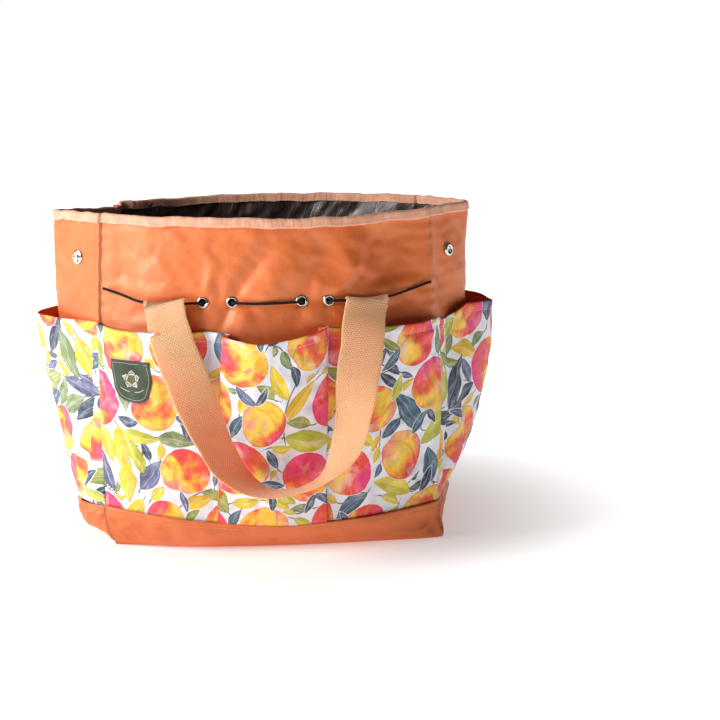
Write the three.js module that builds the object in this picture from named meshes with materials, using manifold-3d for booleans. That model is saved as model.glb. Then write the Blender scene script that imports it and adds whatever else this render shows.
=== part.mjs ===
// A gardening tote bag: soft fabric body with a wide open mouth, eight outside pockets, two webbing
// handles, an elastic tool cord threaded through eyelets on the front and back, and press snaps on
// the side gussets. Millimetres, +Z up, front towards -Y, origin on the floor under the middle.
import * as THREE from 'three';
import { mergeVertices } from 'three/addons/utils/BufferGeometryUtils.js';
import Module from 'manifold-3d';

const wasm = await Module();
wasm.setup();

// ---------------------------------------------------------------- driving dimensions
const RIM_Z = 305;
const BAND_TOP_Z = 34;
const POCKET_TOP_Z = 206;
const CORD_Z = 229;
const CORD_SEAM_Z = 235;

// The wall's horizontal outline at five heights: half width at the corner seams, how far in front
// and behind the middle those seams stand, how far the front and back bow out between them, and how
// far the two gusset creases reach.
const SECTIONS = [
  { z: 0, cornerX: 149, frontY: 79, backY: 79, frontBow: 15, backBow: 15, creaseLeft: 156, creaseRight: 154 },
  { z: BAND_TOP_Z, cornerX: 152, frontY: 79, backY: 79, frontBow: 38, backBow: 36, creaseLeft: 177, creaseRight: 167 },
  { z: 130, cornerX: 152.5, frontY: 75, backY: 77, frontBow: 45, backBow: 44, creaseLeft: 184, creaseRight: 174 },
  { z: POCKET_TOP_Z, cornerX: 152, frontY: 69, backY: 74, frontBow: 49, backBow: 50, creaseLeft: 202, creaseRight: 188 },
  { z: RIM_Z, cornerX: 148, frontY: 59, backY: 70, frontBow: 47, backBow: 50, creaseLeft: 203, creaseRight: 189 },
];

// Layers, as offsets from the wall's reference surface: outside is positive.
const GAP = 0.4;
const PANEL = { inner: 0, outer: 1.2 };
const LINING = { inner: -1.6, outer: -GAP };
const COVER = { inner: 1.7, outer: 3.0 };
const CORNER_GAP = 0.5;

const BOTTOM_THICK = 1.6;
const BOARD = { inset: -3.4, bottom: 2.0, top: 4.0 };
const FLOOR_LINING = { bottom: 4.4, top: 5.4 };

const BINDING = { leg: 10.5, wall: 0.9, clear: 0.4 };
const SIDE_POCKET_REACH = 219;
const CENTRE_GAPE = 22;
const CENTRE_SAG = 9;
const OUTER_GAPE = 14;

const WEBBING = { width: 38, thick: 1.8, x: 89 };
const FOLD_Z = 232;
const FOLD_LIFT = 5.6;
const TAB_BOTTOM_Z = 150;
const TAB_THICK = 1.2;

const EYELET_X = [-57, -31, 32, 56];
const EYELET = { flange: 5.0, bore: 2.2, barrel: 2.8, hole: 3.3, lip: 1.7, height: 2.6 };
const CORD_R = 1.2;

const SNAP = { z: 264, along: 0.42, radius: 6.5, hole: 2.4 };
const LABEL = { x: -118, z: 160, width: 37, height: 37 };

// ---------------------------------------------------------------- the wall surface
// Cubic Hermite value of one section dimension at height z, with slopes that never overshoot.
function dimension(key, z) {
  const last = SECTIONS.length - 1;
  const slope = (i) => (SECTIONS[i + 1][key] - SECTIONS[i][key]) / (SECTIONS[i + 1].z - SECTIONS[i].z);
  const knot = (i) => {
    if (i === 0) return slope(0);
    if (i === last) return slope(last - 1);
    const [a, b] = [slope(i - 1), slope(i)];
    return a * b > 0 ? (2 * a * b) / (a + b) : 0;
  };
  let i = 0;
  while (i < last - 1 && z > SECTIONS[i + 1].z) i += 1;
  const height = SECTIONS[i + 1].z - SECTIONS[i].z;
  const t = (z - SECTIONS[i].z) / height;
  const [t2, t3] = [t * t, t * t * t];
  return (
    (2 * t3 - 3 * t2 + 1) * SECTIONS[i][key] +
    (t3 - 2 * t2 + t) * height * knot(i) +
    (3 * t2 - 2 * t3) * SECTIONS[i + 1][key] +
    (t3 - t2) * height * knot(i + 1)
  );
}

// A point of the wall on one side of the bag: s runs from 0 to 1 along that side, anticlockwise
// from above starting at the front-left seam, and offset moves the whole outline outwards.
function wallPoint(side, s, z, offset = 0) {
  const cornerX = dimension('cornerX', z) + offset;
  const frontY = dimension('frontY', z) + offset;
  const backY = dimension('backY', z) + offset;
  const across = 2 * s - 1;
  const bow = 1 - across * across;
  if (side === 'front') return new THREE.Vector3(cornerX * across, -frontY - dimension('frontBow', z) * bow, z);
  if (side === 'back') return new THREE.Vector3(-cornerX * across, backY + dimension('backBow', z) * bow, z);
  const crease = dimension(side === 'right' ? 'creaseRight' : 'creaseLeft', z) + offset;
  const x = cornerX + (crease - cornerX) * (1 - Math.abs(across) ** 1.15);
  if (side === 'right') return new THREE.Vector3(x, THREE.MathUtils.lerp(-frontY, backY, s), z);
  return new THREE.Vector3(-x, THREE.MathUtils.lerp(backY, -frontY, s), z);
}

// Where along the front or back a point lies that is x to the right of the middle, seen from outside.
const shareAt = (x, z) => 0.5 + x / (2 * dimension('cornerX', z));

// Direction square to the wall, outwards.
function wallNormal(side, s, z) {
  const along = wallPoint(side, s + 0.002, z).sub(wallPoint(side, s - 0.002, z));
  const up = wallPoint(side, s, z + 1).sub(wallPoint(side, s, z - 1));
  return along.cross(up).normalize();
}

// ---------------------------------------------------------------- solids
const lerp = THREE.MathUtils.lerp;
const spaced = (from, to, count) => Array.from({ length: count + 1 }, (_, i) => lerp(from, to, i / count));

// A closed solid between two equal grids of points.
function slab(outer, inner) {
  const rows = outer.length;
  const columns = outer[0].length;
  const points = [...outer.flat(), ...inner.flat()];
  const at = (layer, r, c) => layer * rows * columns + r * columns + c;
  const index = [];
  const quad = (a, b, c, d) => index.push(a, b, c, a, c, d);
  for (let r = 0; r < rows - 1; r += 1) {
    for (let c = 0; c < columns - 1; c += 1) {
      quad(at(0, r, c), at(0, r, c + 1), at(0, r + 1, c + 1), at(0, r + 1, c));
      quad(at(1, r, c), at(1, r + 1, c), at(1, r + 1, c + 1), at(1, r, c + 1));
    }
  }
  for (let c = 0; c < columns - 1; c += 1) {
    quad(at(0, 0, c), at(1, 0, c), at(1, 0, c + 1), at(0, 0, c + 1));
    quad(at(0, rows - 1, c), at(0, rows - 1, c + 1), at(1, rows - 1, c + 1), at(1, rows - 1, c));
  }
  for (let r = 0; r < rows - 1; r += 1) {
    quad(at(0, r, 0), at(0, r + 1, 0), at(1, r + 1, 0), at(1, r, 0));
    quad(at(0, r, columns - 1), at(1, r, columns - 1), at(1, r + 1, columns - 1), at(0, r + 1, columns - 1));
  }
  return facingOut(points, index);
}

// An indexed geometry whose triangles are turned, if need be, so that its volume is positive.
function facingOut(points, index) {
  let volume = 0;
  for (let i = 0; i < index.length; i += 3) {
    const [a, b, c] = [points[index[i]], points[index[i + 1]], points[index[i + 2]]];
    volume += a.dot(b.clone().cross(c));
  }
  if (volume < 0) {
    for (let i = 0; i < index.length; i += 3) [index[i + 1], index[i + 2]] = [index[i + 2], index[i + 1]];
  }
  const geometry = new THREE.BufferGeometry().setFromPoints(points);
  geometry.setIndex(index);
  return geometry;
}

function manifoldOf(geometry) {
  const bare = geometry.clone();
  bare.deleteAttribute('normal');
  bare.deleteAttribute('uv');
  const merged = mergeVertices(bare, 1e-3);
  return new wasm.Manifold(
    new wasm.Mesh({
      numProp: 3,
      vertProperties: merged.attributes.position.array,
      triVerts: new Uint32Array(merged.index.array),
    }),
  );
}

function geometryOf(solid) {
  const mesh = solid.getMesh();
  const geometry = new THREE.BufferGeometry();
  geometry.setAttribute('position', new THREE.BufferAttribute(mesh.vertProperties, 3));
  geometry.setIndex(new THREE.BufferAttribute(mesh.triVerts, 1));
  return geometry;
}

function pierce(geometry, cutters) {
  return geometryOf(cutters.reduce((solid, cutter) => solid.subtract(manifoldOf(cutter)), manifoldOf(geometry)));
}

// Every sheet on the wall breaks at these heights, so that layers lying on each other stay apart.
const LEVELS = [17, 34.2, 58, 100, 150, 207, 240, 272];

// Part of one side of the bag as a curved sheet between two offsets.
function wallSheet({ side, from = 0, to = 1, bottom, top, layer, columns, bulge = () => 0, sag = 0 }) {
  const push = { front: [0, -1], back: [0, 1], left: [-1, 0], right: [1, 0] }[side];
  const levels = [bottom, ...LEVELS.filter((z) => z > bottom + 1 && z < top - 1), top];
  const grid = (offset) =>
    levels.map((level) =>
      spaced(0, 1, columns).map((u) => {
        const v = (level - bottom) / (top - bottom);
        const z = level - sag * v * v * (1 - (2 * u - 1) ** 2);
        const trim = CORNER_GAP / wallPoint(side, 0, z).distanceTo(wallPoint(side, 1, z));
        const s = lerp(Math.max(from, trim), Math.min(to, 1 - trim), u);
        const out = bulge(u, v, z);
        const p = wallPoint(side, s, z, offset);
        return p.add(new THREE.Vector3(push[0] * out, push[1] * out, 0));
      }),
    );
  return slab(grid(layer.outer), grid(layer.inner));
}

// A flat plate with the wall's outline at one offset.
function floorPlate(offset, bottom, top) {
  const outline = ['front', 'right', 'back', 'left'].flatMap((side) => {
    const count = side === 'front' || side === 'back' ? 12 : 4;
    return spaced(0, 1, count).slice(0, -1).map((s) => wallPoint(side, s, 0, offset));
  });
  const shape = new THREE.Shape(outline.map((p) => new THREE.Vector2(p.x, p.y)));
  const plate = new THREE.ExtrudeGeometry(shape, { depth: top - bottom, bevelEnabled: false });
  return plate.translate(0, 0, bottom);
}

// ---------------------------------------------------------------- materials
const fabric = (color, roughness) => new THREE.MeshStandardMaterial({ color, roughness, metalness: 0 });
const CORAL = fabric('#f08048', 0.75);
const PEACH = fabric('#f6ab7f', 0.85);
const PRINT = fabric('#eee6e2', 0.6);
const LINER = fabric('#3c3836', 0.45);
const BOARD_GREY = fabric('#d8d5cf', 0.6);
const CORD_BLACK = fabric('#1d1815', 0.9);
const LABEL_GREEN = fabric('#45503f', 0.8);
const NICKEL = new THREE.MeshStandardMaterial({ color: '#c9c6c0', roughness: 0.25, metalness: 1 });

const bag = new THREE.Group();
function add(name, geometry, material) {
  const mesh = new THREE.Mesh(geometry, material);
  mesh.name = name;
  bag.add(mesh);
  return mesh;
}

// ---------------------------------------------------------------- body, lining and base
const SIDES = ['front', 'right', 'back', 'left'];
const isWide = (side) => side === 'front' || side === 'back';

// Places a part drawn around +Z so that +Z points out of the wall.
function onWall(object, side, s, z) {
  const normal = wallNormal(side, s, z);
  object.applyQuaternion(new THREE.Quaternion().setFromUnitVectors(new THREE.Vector3(0, 0, 1), normal));
  return object.translate(...wallPoint(side, s, z).toArray());
}

function holesIn(side) {
  if (isWide(side)) {
    return EYELET_X.map((x) => {
      const cutter = new THREE.CylinderGeometry(EYELET.hole, EYELET.hole, 20, 12).rotateX(Math.PI / 2);
      return onWall(cutter, side, shareAt(x, CORD_Z), CORD_Z);
    });
  }
  return [SNAP.along / 2, 1 - SNAP.along / 2].map((s) => {
    const cutter = new THREE.CylinderGeometry(SNAP.hole, SNAP.hole, 20, 10).rotateX(Math.PI / 2);
    return onWall(cutter, side, s, SNAP.z);
  });
}

for (const side of SIDES) {
  const columns = isWide(side) ? 12 : 8;
  const kind = isWide(side) ? 'panel' : 'gusset';
  const panel = wallSheet({ side, bottom: BOTTOM_THICK + GAP, top: RIM_Z, layer: PANEL, columns });
  add(`${side}_${kind}`, pierce(panel, holesIn(side)), CORAL);
  const lining = wallSheet({ side, bottom: BOTTOM_THICK + GAP, top: RIM_Z, layer: LINING, columns });
  add(`${side}_lining`, pierce(lining, holesIn(side)), LINER);
  const band = wallSheet({ side, bottom: BOTTOM_THICK + GAP, top: BAND_TOP_Z, layer: COVER, columns });
  add(`${side}_base_band`, band, CORAL);
}

add('bottom_panel', floorPlate(COVER.outer, 0, BOTTOM_THICK), CORAL);
add('base_board', floorPlate(BOARD.inset, BOARD.bottom, BOARD.top), BOARD_GREY);
add('floor_lining', floorPlate(BOARD.inset, FLOOR_LINING.bottom, FLOOR_LINING.top), LINER);

// ---------------------------------------------------------------- rim binding
// Tape folded over the rim: a channel whose two legs hang outside the panels and inside the lining.
function rimBinding() {
  const outside = PANEL.outer + BINDING.clear;
  const inside = LINING.inner - BINDING.clear;
  const low = RIM_Z + BINDING.clear + BINDING.wall - BINDING.leg;
  const under = RIM_Z + BINDING.clear;
  const top = under + BINDING.wall;
  const profile = [
    [outside, low], [outside + BINDING.wall, low], [outside + BINDING.wall, top],
    [inside - BINDING.wall, top], [inside - BINDING.wall, low], [inside, low], [inside, under], [outside, under],
  ];
  const stations = SIDES.flatMap((side) =>
    spaced(0, 1, isWide(side) ? 12 : 8).slice(0, -1).map((s) => ({ side, s })),
  );
  const points = stations.flatMap(({ side, s }) =>
    profile.map(([offset, z]) => wallPoint(side, s, Math.min(z, RIM_Z), offset).setZ(z)),
  );
  const index = [];
  const n = profile.length;
  stations.forEach((_, i) => {
    const next = (i + 1) % stations.length;
    for (let k = 0; k < n; k += 1) {
      const l = (k + 1) % n;
      index.push(i * n + k, next * n + k, next * n + l, i * n + k, next * n + l, i * n + l);
    }
  });
  return facingOut(points, index);
}
add('rim_binding', rimBinding(), PEACH);

// ---------------------------------------------------------------- pockets
const POCKET_BOTTOM_Z = BAND_TOP_Z + GAP;
// How far a pocket stands off: nothing at its sewn sides and bottom, and most at its open top.
const belly = (reach, squareness) => (u, v) =>
  reach * (1 - Math.abs(2 * u - 1) ** squareness) * (1 - (1 - v) ** 1.5);

for (const side of ['front', 'back']) {
  const gap = 0.0015;
  const spans = { left: [0, 1 / 3 - gap], centre: [1 / 3, 2 / 3], right: [2 / 3 + gap, 1] };
  for (const [name, [from, to]] of Object.entries(spans)) {
    const bulge = name === 'centre' ? belly(CENTRE_GAPE, 4) : belly(OUTER_GAPE, 3);
    const sag = name === 'centre' ? CENTRE_SAG : 0;
    const sheet = { side, from, to, bottom: POCKET_BOTTOM_Z, top: POCKET_TOP_Z, layer: COVER, columns: 8 };
    add(`${side}_pocket_${name}`, wallSheet({ ...sheet, bulge, sag }), PRINT);
  }
}

for (const side of ['left', 'right']) {
  const crease = side === 'left' ? 'creaseLeft' : 'creaseRight';
  // The middle of the pocket swings out quickly above the band and reaches furthest at its open top.
  const bulge = (u, v, z) => {
    const foot = dimension(crease, BAND_TOP_Z) + COVER.outer;
    const reach = lerp(foot, SIDE_POCKET_REACH, 1 - (1 - v) ** 2.1);
    return (reach - COVER.outer - dimension(crease, z)) * (1 - Math.abs(2 * u - 1) ** 1.4);
  };
  const sheet = { side, bottom: POCKET_BOTTOM_Z, top: POCKET_TOP_Z, layer: COVER, columns: 10, bulge };
  add(`${side}_side_pocket`, wallSheet(sheet), PRINT);
}

// A woven label with a round lower edge, sewn to the front left pocket.
function label() {
  const bulge = belly(OUTER_GAPE, 3);
  const point = (x, z, lift) => {
    const s = shareAt(x, z);
    const v = (z - POCKET_BOTTOM_Z) / (POCKET_TOP_Z - POCKET_BOTTOM_Z);
    const p = wallPoint('front', s, z, COVER.outer);
    return p.setY(p.y - bulge(3 * s, v) - lift);
  };
  const grid = (lift) =>
    spaced(-1, 1, 8).map((across) => {
      const low = LABEL.z - LABEL.height / 2 + (LABEL.height * 0.42) * (1 - Math.sqrt(1 - (0.98 * across) ** 2));
      return spaced(low, LABEL.z + LABEL.height / 2, 3).map((z) => point(LABEL.x + (across * LABEL.width) / 2, z, lift));
    });
  return slab(grid(1.5), grid(0.7));
}
add('label_patch', label(), LABEL_GREEN);

// ---------------------------------------------------------------- handles
// Webbing tab sewn flat to the panel behind the pocket, turning outwards and over at its top. Its
// profile points are [distance off the panel, z].
const TAB_PROFILE = [
  [2.4, TAB_BOTTOM_Z], [2.4, 190], [2.4, FOLD_Z - 5], [3.4, FOLD_Z - 0.5], [6.4, FOLD_Z + 1.6],
  [9.8, FOLD_Z + 1], [12, FOLD_Z - 0.6],
];
const TAB_LEAVES_PANEL = 3.4;
const TAB_REACH = 12;

// How far in front of or behind the middle the panel stands at the middle of a tab's fold.
const tabPanelY = (side) => wallPoint(side, shareAt(WEBBING.x, FOLD_Z), FOLD_Z).y;

function handleTab(side, x) {
  const profile = new THREE.CatmullRomCurve3(TAB_PROFILE.map(([off, z]) => new THREE.Vector3(off, z, 0)), false, 'centripetal');
  const rows = spaced(0, 1, 2 * (TAB_PROFILE.length - 1)).map((t) => {
    const p = profile.getPoint(t);
    const along = profile.getTangent(t);
    return [p.x, p.y, (along.y * TAB_THICK) / 2, (-along.x * TAB_THICK) / 2];
  });
  const panelY = tabPanelY(side);
  const grid = (face) =>
    rows.map(([off, z, acrossOff, acrossZ]) =>
      spaced(-0.5, 0.5, 4).map((w) => {
        const s = shareAt(x + w * WEBBING.width, FOLD_Z);
        const reach = off + face * acrossOff;
        const wall = wallPoint(side, s, z + face * acrossZ);
        // It follows the bowed panel where it is sewn, and is straight at the end of its fold.
        const straight = wall.clone().setY(panelY + Math.sign(panelY) * reach);
        const sewn = wall.addScaledVector(wallNormal(side, s, FOLD_Z).setZ(0), reach);
        return sewn.lerp(straight, THREE.MathUtils.smoothstep(off, TAB_LEAVES_PANEL, TAB_REACH));
      }),
    );
  return slab(grid(1), grid(-1));
}

// Centre line of the hanging front handle, from in front of its left tab's fold, down, round and up to
// its right tab's fold. Each point has its distance out from the folds, and how far the webbing's
// outer edge has turned forwards there, in degrees.
const HANDLE_ROUTE = [
  { x: -WEBBING.x, out: 8.6, z: FOLD_Z - 2.2, turn: 0 },
  { x: -88, out: 15, z: 214, turn: -6 },
  { x: -83, out: 23, z: 194, turn: -8 },
  { x: -65, out: 32, z: 148, turn: 20 },
  { x: -40, out: 49, z: 96, turn: 54 },
  { x: 0, out: 56, z: 68, turn: 88 },
  { x: 44, out: 52, z: 76, turn: 86 },
  { x: 71, out: 42, z: 118, turn: 44 },
  { x: 82, out: 29, z: 174, turn: 4 },
  { x: 88, out: 15, z: 214, turn: -6 },
  { x: WEBBING.x, out: 8.6, z: FOLD_Z - 2.2, turn: 0 },
];

function handle(side) {
  const foldY = Math.abs(tabPanelY(side)) + FOLD_LIFT;
  const line = new THREE.CatmullRomCurve3(HANDLE_ROUTE.map(({ x, out, z }) => new THREE.Vector3(x, -foldY - out, z)));
  const rows = spaced(0, 1, 36).map((t) => {
    const at = t * (HANDLE_ROUTE.length - 1);
    const i = Math.min(Math.floor(at), HANDLE_ROUTE.length - 2);
    const turn = THREE.MathUtils.degToRad(lerp(HANDLE_ROUTE[i].turn, HANDLE_ROUTE[i + 1].turn, at - i));
    const centre = line.getPoint(t);
    const tangent = line.getTangent(t);
    // Across the webbing: away from the inside of the loop, turned forwards.
    const width = new THREE.Vector3(tangent.z, 0, -tangent.x).setLength(Math.cos(turn));
    width.y = -Math.sin(turn);
    const normal = tangent.clone().cross(width).setLength(WEBBING.thick / 2);
    const across = [-0.5, 0, 0.5].map((w) => centre.clone().addScaledVector(width, w * WEBBING.width));
    return { front: across.map((p) => p.clone().add(normal)), back: across.map((p) => p.clone().sub(normal)) };
  });
  const placed = (face) => rows.map((row) => row[face].map((p) => (side === 'front' ? p : p.set(-p.x, -p.y, p.z))));
  return slab(placed('front'), placed('back'));
}

for (const side of ['front', 'back']) {
  add(`${side}_handle`, handle(side), PEACH);
  add(`${side}_handle_tab_left`, handleTab(side, side === 'front' ? -WEBBING.x : WEBBING.x), PEACH);
  add(`${side}_handle_tab_right`, handleTab(side, side === 'front' ? WEBBING.x : -WEBBING.x), PEACH);
}

// ---------------------------------------------------------------- eyelets, snaps and elastic
const lathe = (profile, segments) =>
  new THREE.LatheGeometry(profile.map(([r, h]) => new THREE.Vector2(r, h)), segments).rotateX(Math.PI / 2);
const closed = (profile) => [...profile, profile[0]];

function eyelet() {
  const { flange, bore, barrel, lip, height } = EYELET;
  return lathe(closed([
    [bore, -3.3], [barrel, -3.3], [barrel, lip], [flange, lip], [flange - 0.3, lip + 0.6],
    [flange - 1.2, height], [bore + 0.8, height], [bore, height - 0.7],
  ]), 12);
}

function washer() {
  return lathe(closed([[EYELET.barrel + 0.4, -3.2], [4.8, -2.9], [4.8, -2.3], [EYELET.barrel + 0.4, -2.3]]), 12);
}

for (const side of ['front', 'back']) {
  EYELET_X.forEach((x, i) => {
    const s = shareAt(x, CORD_Z);
    add(`${side}_eyelet_${i + 1}`, onWall(eyelet(), side, s, CORD_Z), NICKEL);
    add(`${side}_eyelet_washer_${i + 1}`, onWall(washer(), side, s, CORD_Z), NICKEL);
  });
}

// Press snap halves on the outside of the gussets, and the caps behind them inside.
const SNAP_STUD = [
  [0, -2.9], [1.9, -2.9], [1.9, 1.6], [6.5, 1.6], [6.5, 2.2], [5.6, 2.9], [4.0, 2.6], [2.9, 2.6],
  [2.6, 4.0], [2.1, 4.8], [0, 4.8],
];
const SNAP_SOCKET = [
  [0, -2.9], [1.9, -2.9], [1.9, 1.6], [6.5, 1.6], [6.5, 2.4], [5.7, 3.6], [4.4, 3.9], [3.4, 3.4], [3.2, 2.4], [0, 2.4],
];
const SNAP_CAP = [[3.4, -4.8], [5.2, -4.1], [6.2, -2.9], [6.0, -2.5], [2.2, -2.5], [2.2, -4.8]];

for (const side of ['left', 'right']) {
  const frontShare = side === 'right' ? SNAP.along / 2 : 1 - SNAP.along / 2;
  const halves = side === 'left' ? ['stud', 'socket'] : ['socket', 'stud'];
  [['front', frontShare, halves[0]], ['back', 1 - frontShare, halves[1]]].forEach(([end, s, half]) => {
    const body = lathe(half === 'stud' ? SNAP_STUD : SNAP_SOCKET, 14);
    add(`${side}_snap_${half}_${end}`, onWall(body, side, s, SNAP.z), NICKEL);
    add(`${side}_snap_cap_${end}`, onWall(lathe(closed(SNAP_CAP), 14), side, s, SNAP.z), NICKEL);
  });
}

// Elastic cord: sewn into one corner seam, over the handle tab, in and out through the four eyelets
// and back over the other tab to the far seam. Its points are [x, distance off the panel, z].
const INSIDE = -5.3;
const OUTSIDE = 4.4;
const LEFT_RUN = [[-145.5, 3.6, CORD_SEAM_Z], [-128, 3.6, 231.5], [-110, 4.8, 229], [-90, 4.8, 228], [-70, 4.6, 228.5]];
const through = (x, dir) => [
  [x - dir * 7, OUTSIDE], [x - dir * 3.0, OUTSIDE + 0.1], [x - dir * 1.1, 3.3], [x - dir * 0.2, 1.6], [x, 0],
  [x + dir * 0.2, -2.2], [x + dir * 1.4, -4.2], [x + dir * 4, INSIDE],
].map(([px, off]) => [px, off, CORD_Z]);

function elastic(side) {
  const mirrored = LEFT_RUN.map(([x, off, z]) => [-x, off, z]).reverse();
  const route = [
    ...LEFT_RUN,
    ...through(EYELET_X[0], 1), ...through(EYELET_X[1], -1).reverse(),
    [0, 3.2, CORD_Z - 0.6],
    ...through(EYELET_X[2], 1), ...through(EYELET_X[3], -1).reverse(),
    ...mirrored,
  ];
  const points = route.map(([x, off, z]) => {
    const s = shareAt(x, z);
    return wallPoint(side, s, z).addScaledVector(wallNormal(side, s, z), off);
  });
  const line = new THREE.CatmullRomCurve3(points, false, 'centripetal');
  line.getUtoTmapping = (u) => u; // steps follow the points, which are closest where it dives into an eyelet
  const section = new THREE.Shape(spaced(0, 1, 7).slice(0, -1).map((t) => {
    const angle = t * 2 * Math.PI;
    return new THREE.Vector2(CORD_R * Math.cos(angle), CORD_R * Math.sin(angle));
  }));
  return new THREE.ExtrudeGeometry(section, { steps: points.length - 1, extrudePath: line });
}
add('front_elastic_cord', elastic('front'), CORD_BLACK);
add('back_elastic_cord', elastic('back'), CORD_BLACK);

export default bag;
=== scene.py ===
import math

import bpy
import numpy as np
from mathutils import Matrix


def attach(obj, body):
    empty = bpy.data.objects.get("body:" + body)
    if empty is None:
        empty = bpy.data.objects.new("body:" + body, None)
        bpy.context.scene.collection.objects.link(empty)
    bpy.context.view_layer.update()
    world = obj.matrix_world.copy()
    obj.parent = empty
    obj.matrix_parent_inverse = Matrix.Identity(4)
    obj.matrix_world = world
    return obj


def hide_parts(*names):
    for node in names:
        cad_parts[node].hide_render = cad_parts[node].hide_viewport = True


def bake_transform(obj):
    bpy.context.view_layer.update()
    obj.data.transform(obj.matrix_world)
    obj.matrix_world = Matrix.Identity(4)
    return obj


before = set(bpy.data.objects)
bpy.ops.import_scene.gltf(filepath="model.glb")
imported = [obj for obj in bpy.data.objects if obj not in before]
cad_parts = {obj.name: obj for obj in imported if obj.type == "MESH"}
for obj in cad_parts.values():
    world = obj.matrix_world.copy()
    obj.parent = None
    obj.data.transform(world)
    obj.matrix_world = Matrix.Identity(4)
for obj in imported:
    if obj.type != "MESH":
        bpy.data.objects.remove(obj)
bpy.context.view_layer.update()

MM = 0.001

# ---------------------------------------------------------------- driving dimensions
RIM_Z = 305.0
CORD_Z = 229.0
FRONT, RIGHT, BACK, LEFT = range(4)

# The wall's outline at five heights, as in the CAD part: half width at the corner seams, how far in
# front and behind they stand, how far front and back bow out, and how far the gusset creases reach.
SECTION_Z = np.array([0.0, 34.0, 130.0, 206.0, RIM_Z])
SECTIONS = {
    "corner_x": [149, 152, 152.5, 152, 148],
    "front_y": [79, 79, 75, 69, 59],
    "back_y": [79, 79, 77, 74, 70],
    "front_bow": [15, 38, 45, 49, 47],
    "back_bow": [15, 36, 44, 50, 50],
    "crease_left": [156, 177, 184, 202, 203],
    "crease_right": [154, 167, 174, 188, 189],
}
SIDE_ARC = np.array([330.0, 172.0, 335.0, 190.0])  # how long each side is, round the wall

PANEL_OUT = 1.2
LINING_OUT = -0.8
COVER_OUT = 3.0
BAND_Z = 34.0          # about where the base band ends

SIDE_REACH = 219.0
EYELET_X = [-57, -31, 32, 56]
EYELET_HOLE_R = 3.6
FACE_HALF = 150.0      # about half the width of the front, at the cord
CORD_R = 1.2
WEBBING_WIDTH = 38.0
WEBBING_THICK = 1.7
SNAP_Z = 264.0
SNAP_SHARE = 0.21

# ---------------------------------------------------------------- small tools


def smooth(low, high, x):
    t = np.clip((np.asarray(x, float) - low) / (high - low), 0, 1)
    return t * t * (3 - 2 * t)


def blob(x, centre, width):
    return np.exp(-(((np.asarray(x, float) - centre) / width) ** 2))


def ripples(points, wavelength, seed, waves=9, spread=0.5):
    """Smooth noise of about unit height: a sum of plane waves in random directions."""
    rng = np.random.default_rng(seed)
    total = 0.0
    for _ in range(waves):
        direction = rng.normal(size=points.shape[-1])
        direction /= np.linalg.norm(direction)
        length = wavelength * math.exp(rng.uniform(-spread, spread))
        total = total + np.sin(points @ direction * (2 * math.pi / length) + rng.uniform(0, 2 * math.pi))
    return total / math.sqrt(waves / 2)


def creased(x):
    """Turns smooth noise into sharp ridges between broad hollows, from 0 to 1."""
    return 1 - np.sqrt(np.minimum(np.abs(x), 1.0))


def catmull_rom(points, samples):
    """Evenly stepped points on the centripetal Catmull-Rom curve through the given points."""
    p = np.asarray(points, float)
    p = np.vstack([2 * p[0] - p[1], p, 2 * p[-1] - p[-2]])
    out = []
    for i in range(1, len(p) - 2):
        a, b, c, d = p[i - 1 : i + 3]
        t = np.cumsum([0] + [max(np.linalg.norm(v[:3]), 1e-6) ** 0.5 for v in (b - a, c - b, d - c)])
        u = np.linspace(t[1], t[2], 24, endpoint=False)[:, None]
        ab = (t[1] - u) / (t[1] - t[0]) * a + (u - t[0]) / (t[1] - t[0]) * b
        bc = (t[2] - u) / (t[2] - t[1]) * b + (u - t[1]) / (t[2] - t[1]) * c
        cd = (t[3] - u) / (t[3] - t[2]) * c + (u - t[2]) / (t[3] - t[2]) * d
        abc = (t[2] - u) / (t[2] - t[0]) * ab + (u - t[0]) / (t[2] - t[0]) * bc
        bcd = (t[3] - u) / (t[3] - t[1]) * bc + (u - t[1]) / (t[3] - t[1]) * cd
        out.append((t[2] - u) / (t[2] - t[1]) * abc + (u - t[1]) / (t[2] - t[1]) * bcd)
    fine = np.vstack(out + [p[-2][None]])
    return resample(fine, samples)


def resample(line, samples):
    steps = np.linalg.norm(np.diff(line[:, :3], axis=0), axis=1)
    along = np.concatenate([[0], np.cumsum(steps)])
    at = np.linspace(0, along[-1], samples)
    return np.stack([np.interp(at, along, line[:, k]) for k in range(line.shape[1])], axis=1)


def unit(v):
    return v / np.maximum(np.linalg.norm(v, axis=-1, keepdims=True), 1e-9)


# ---------------------------------------------------------------- the wall surface


def section(key, z):
    """One outline dimension at height z, by the same cubic as in the CAD part."""
    v = np.array(SECTIONS[key], float)
    slope = np.diff(v) / np.diff(SECTION_Z)
    a, b = slope[:-1], slope[1:]
    inner = np.where(a * b > 0, 2 * a * b / np.where(a + b == 0, 1, a + b), 0)
    knots = np.concatenate([[slope[0]], inner, [slope[-1]]])
    z = np.clip(z, 0, RIM_Z)
    i = np.clip(np.searchsorted(SECTION_Z, z, side="right") - 1, 0, len(slope) - 1)
    height = (SECTION_Z[1:] - SECTION_Z[:-1])[i]
    t = (z - SECTION_Z[i]) / height
    t2, t3 = t * t, t * t * t
    return (
        (2 * t3 - 3 * t2 + 1) * v[i]
        + (t3 - 2 * t2 + t) * height * knots[i]
        + (3 * t2 - 2 * t3) * v[i + 1]
        + (t3 - t2) * height * knots[i + 1]
    )


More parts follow.
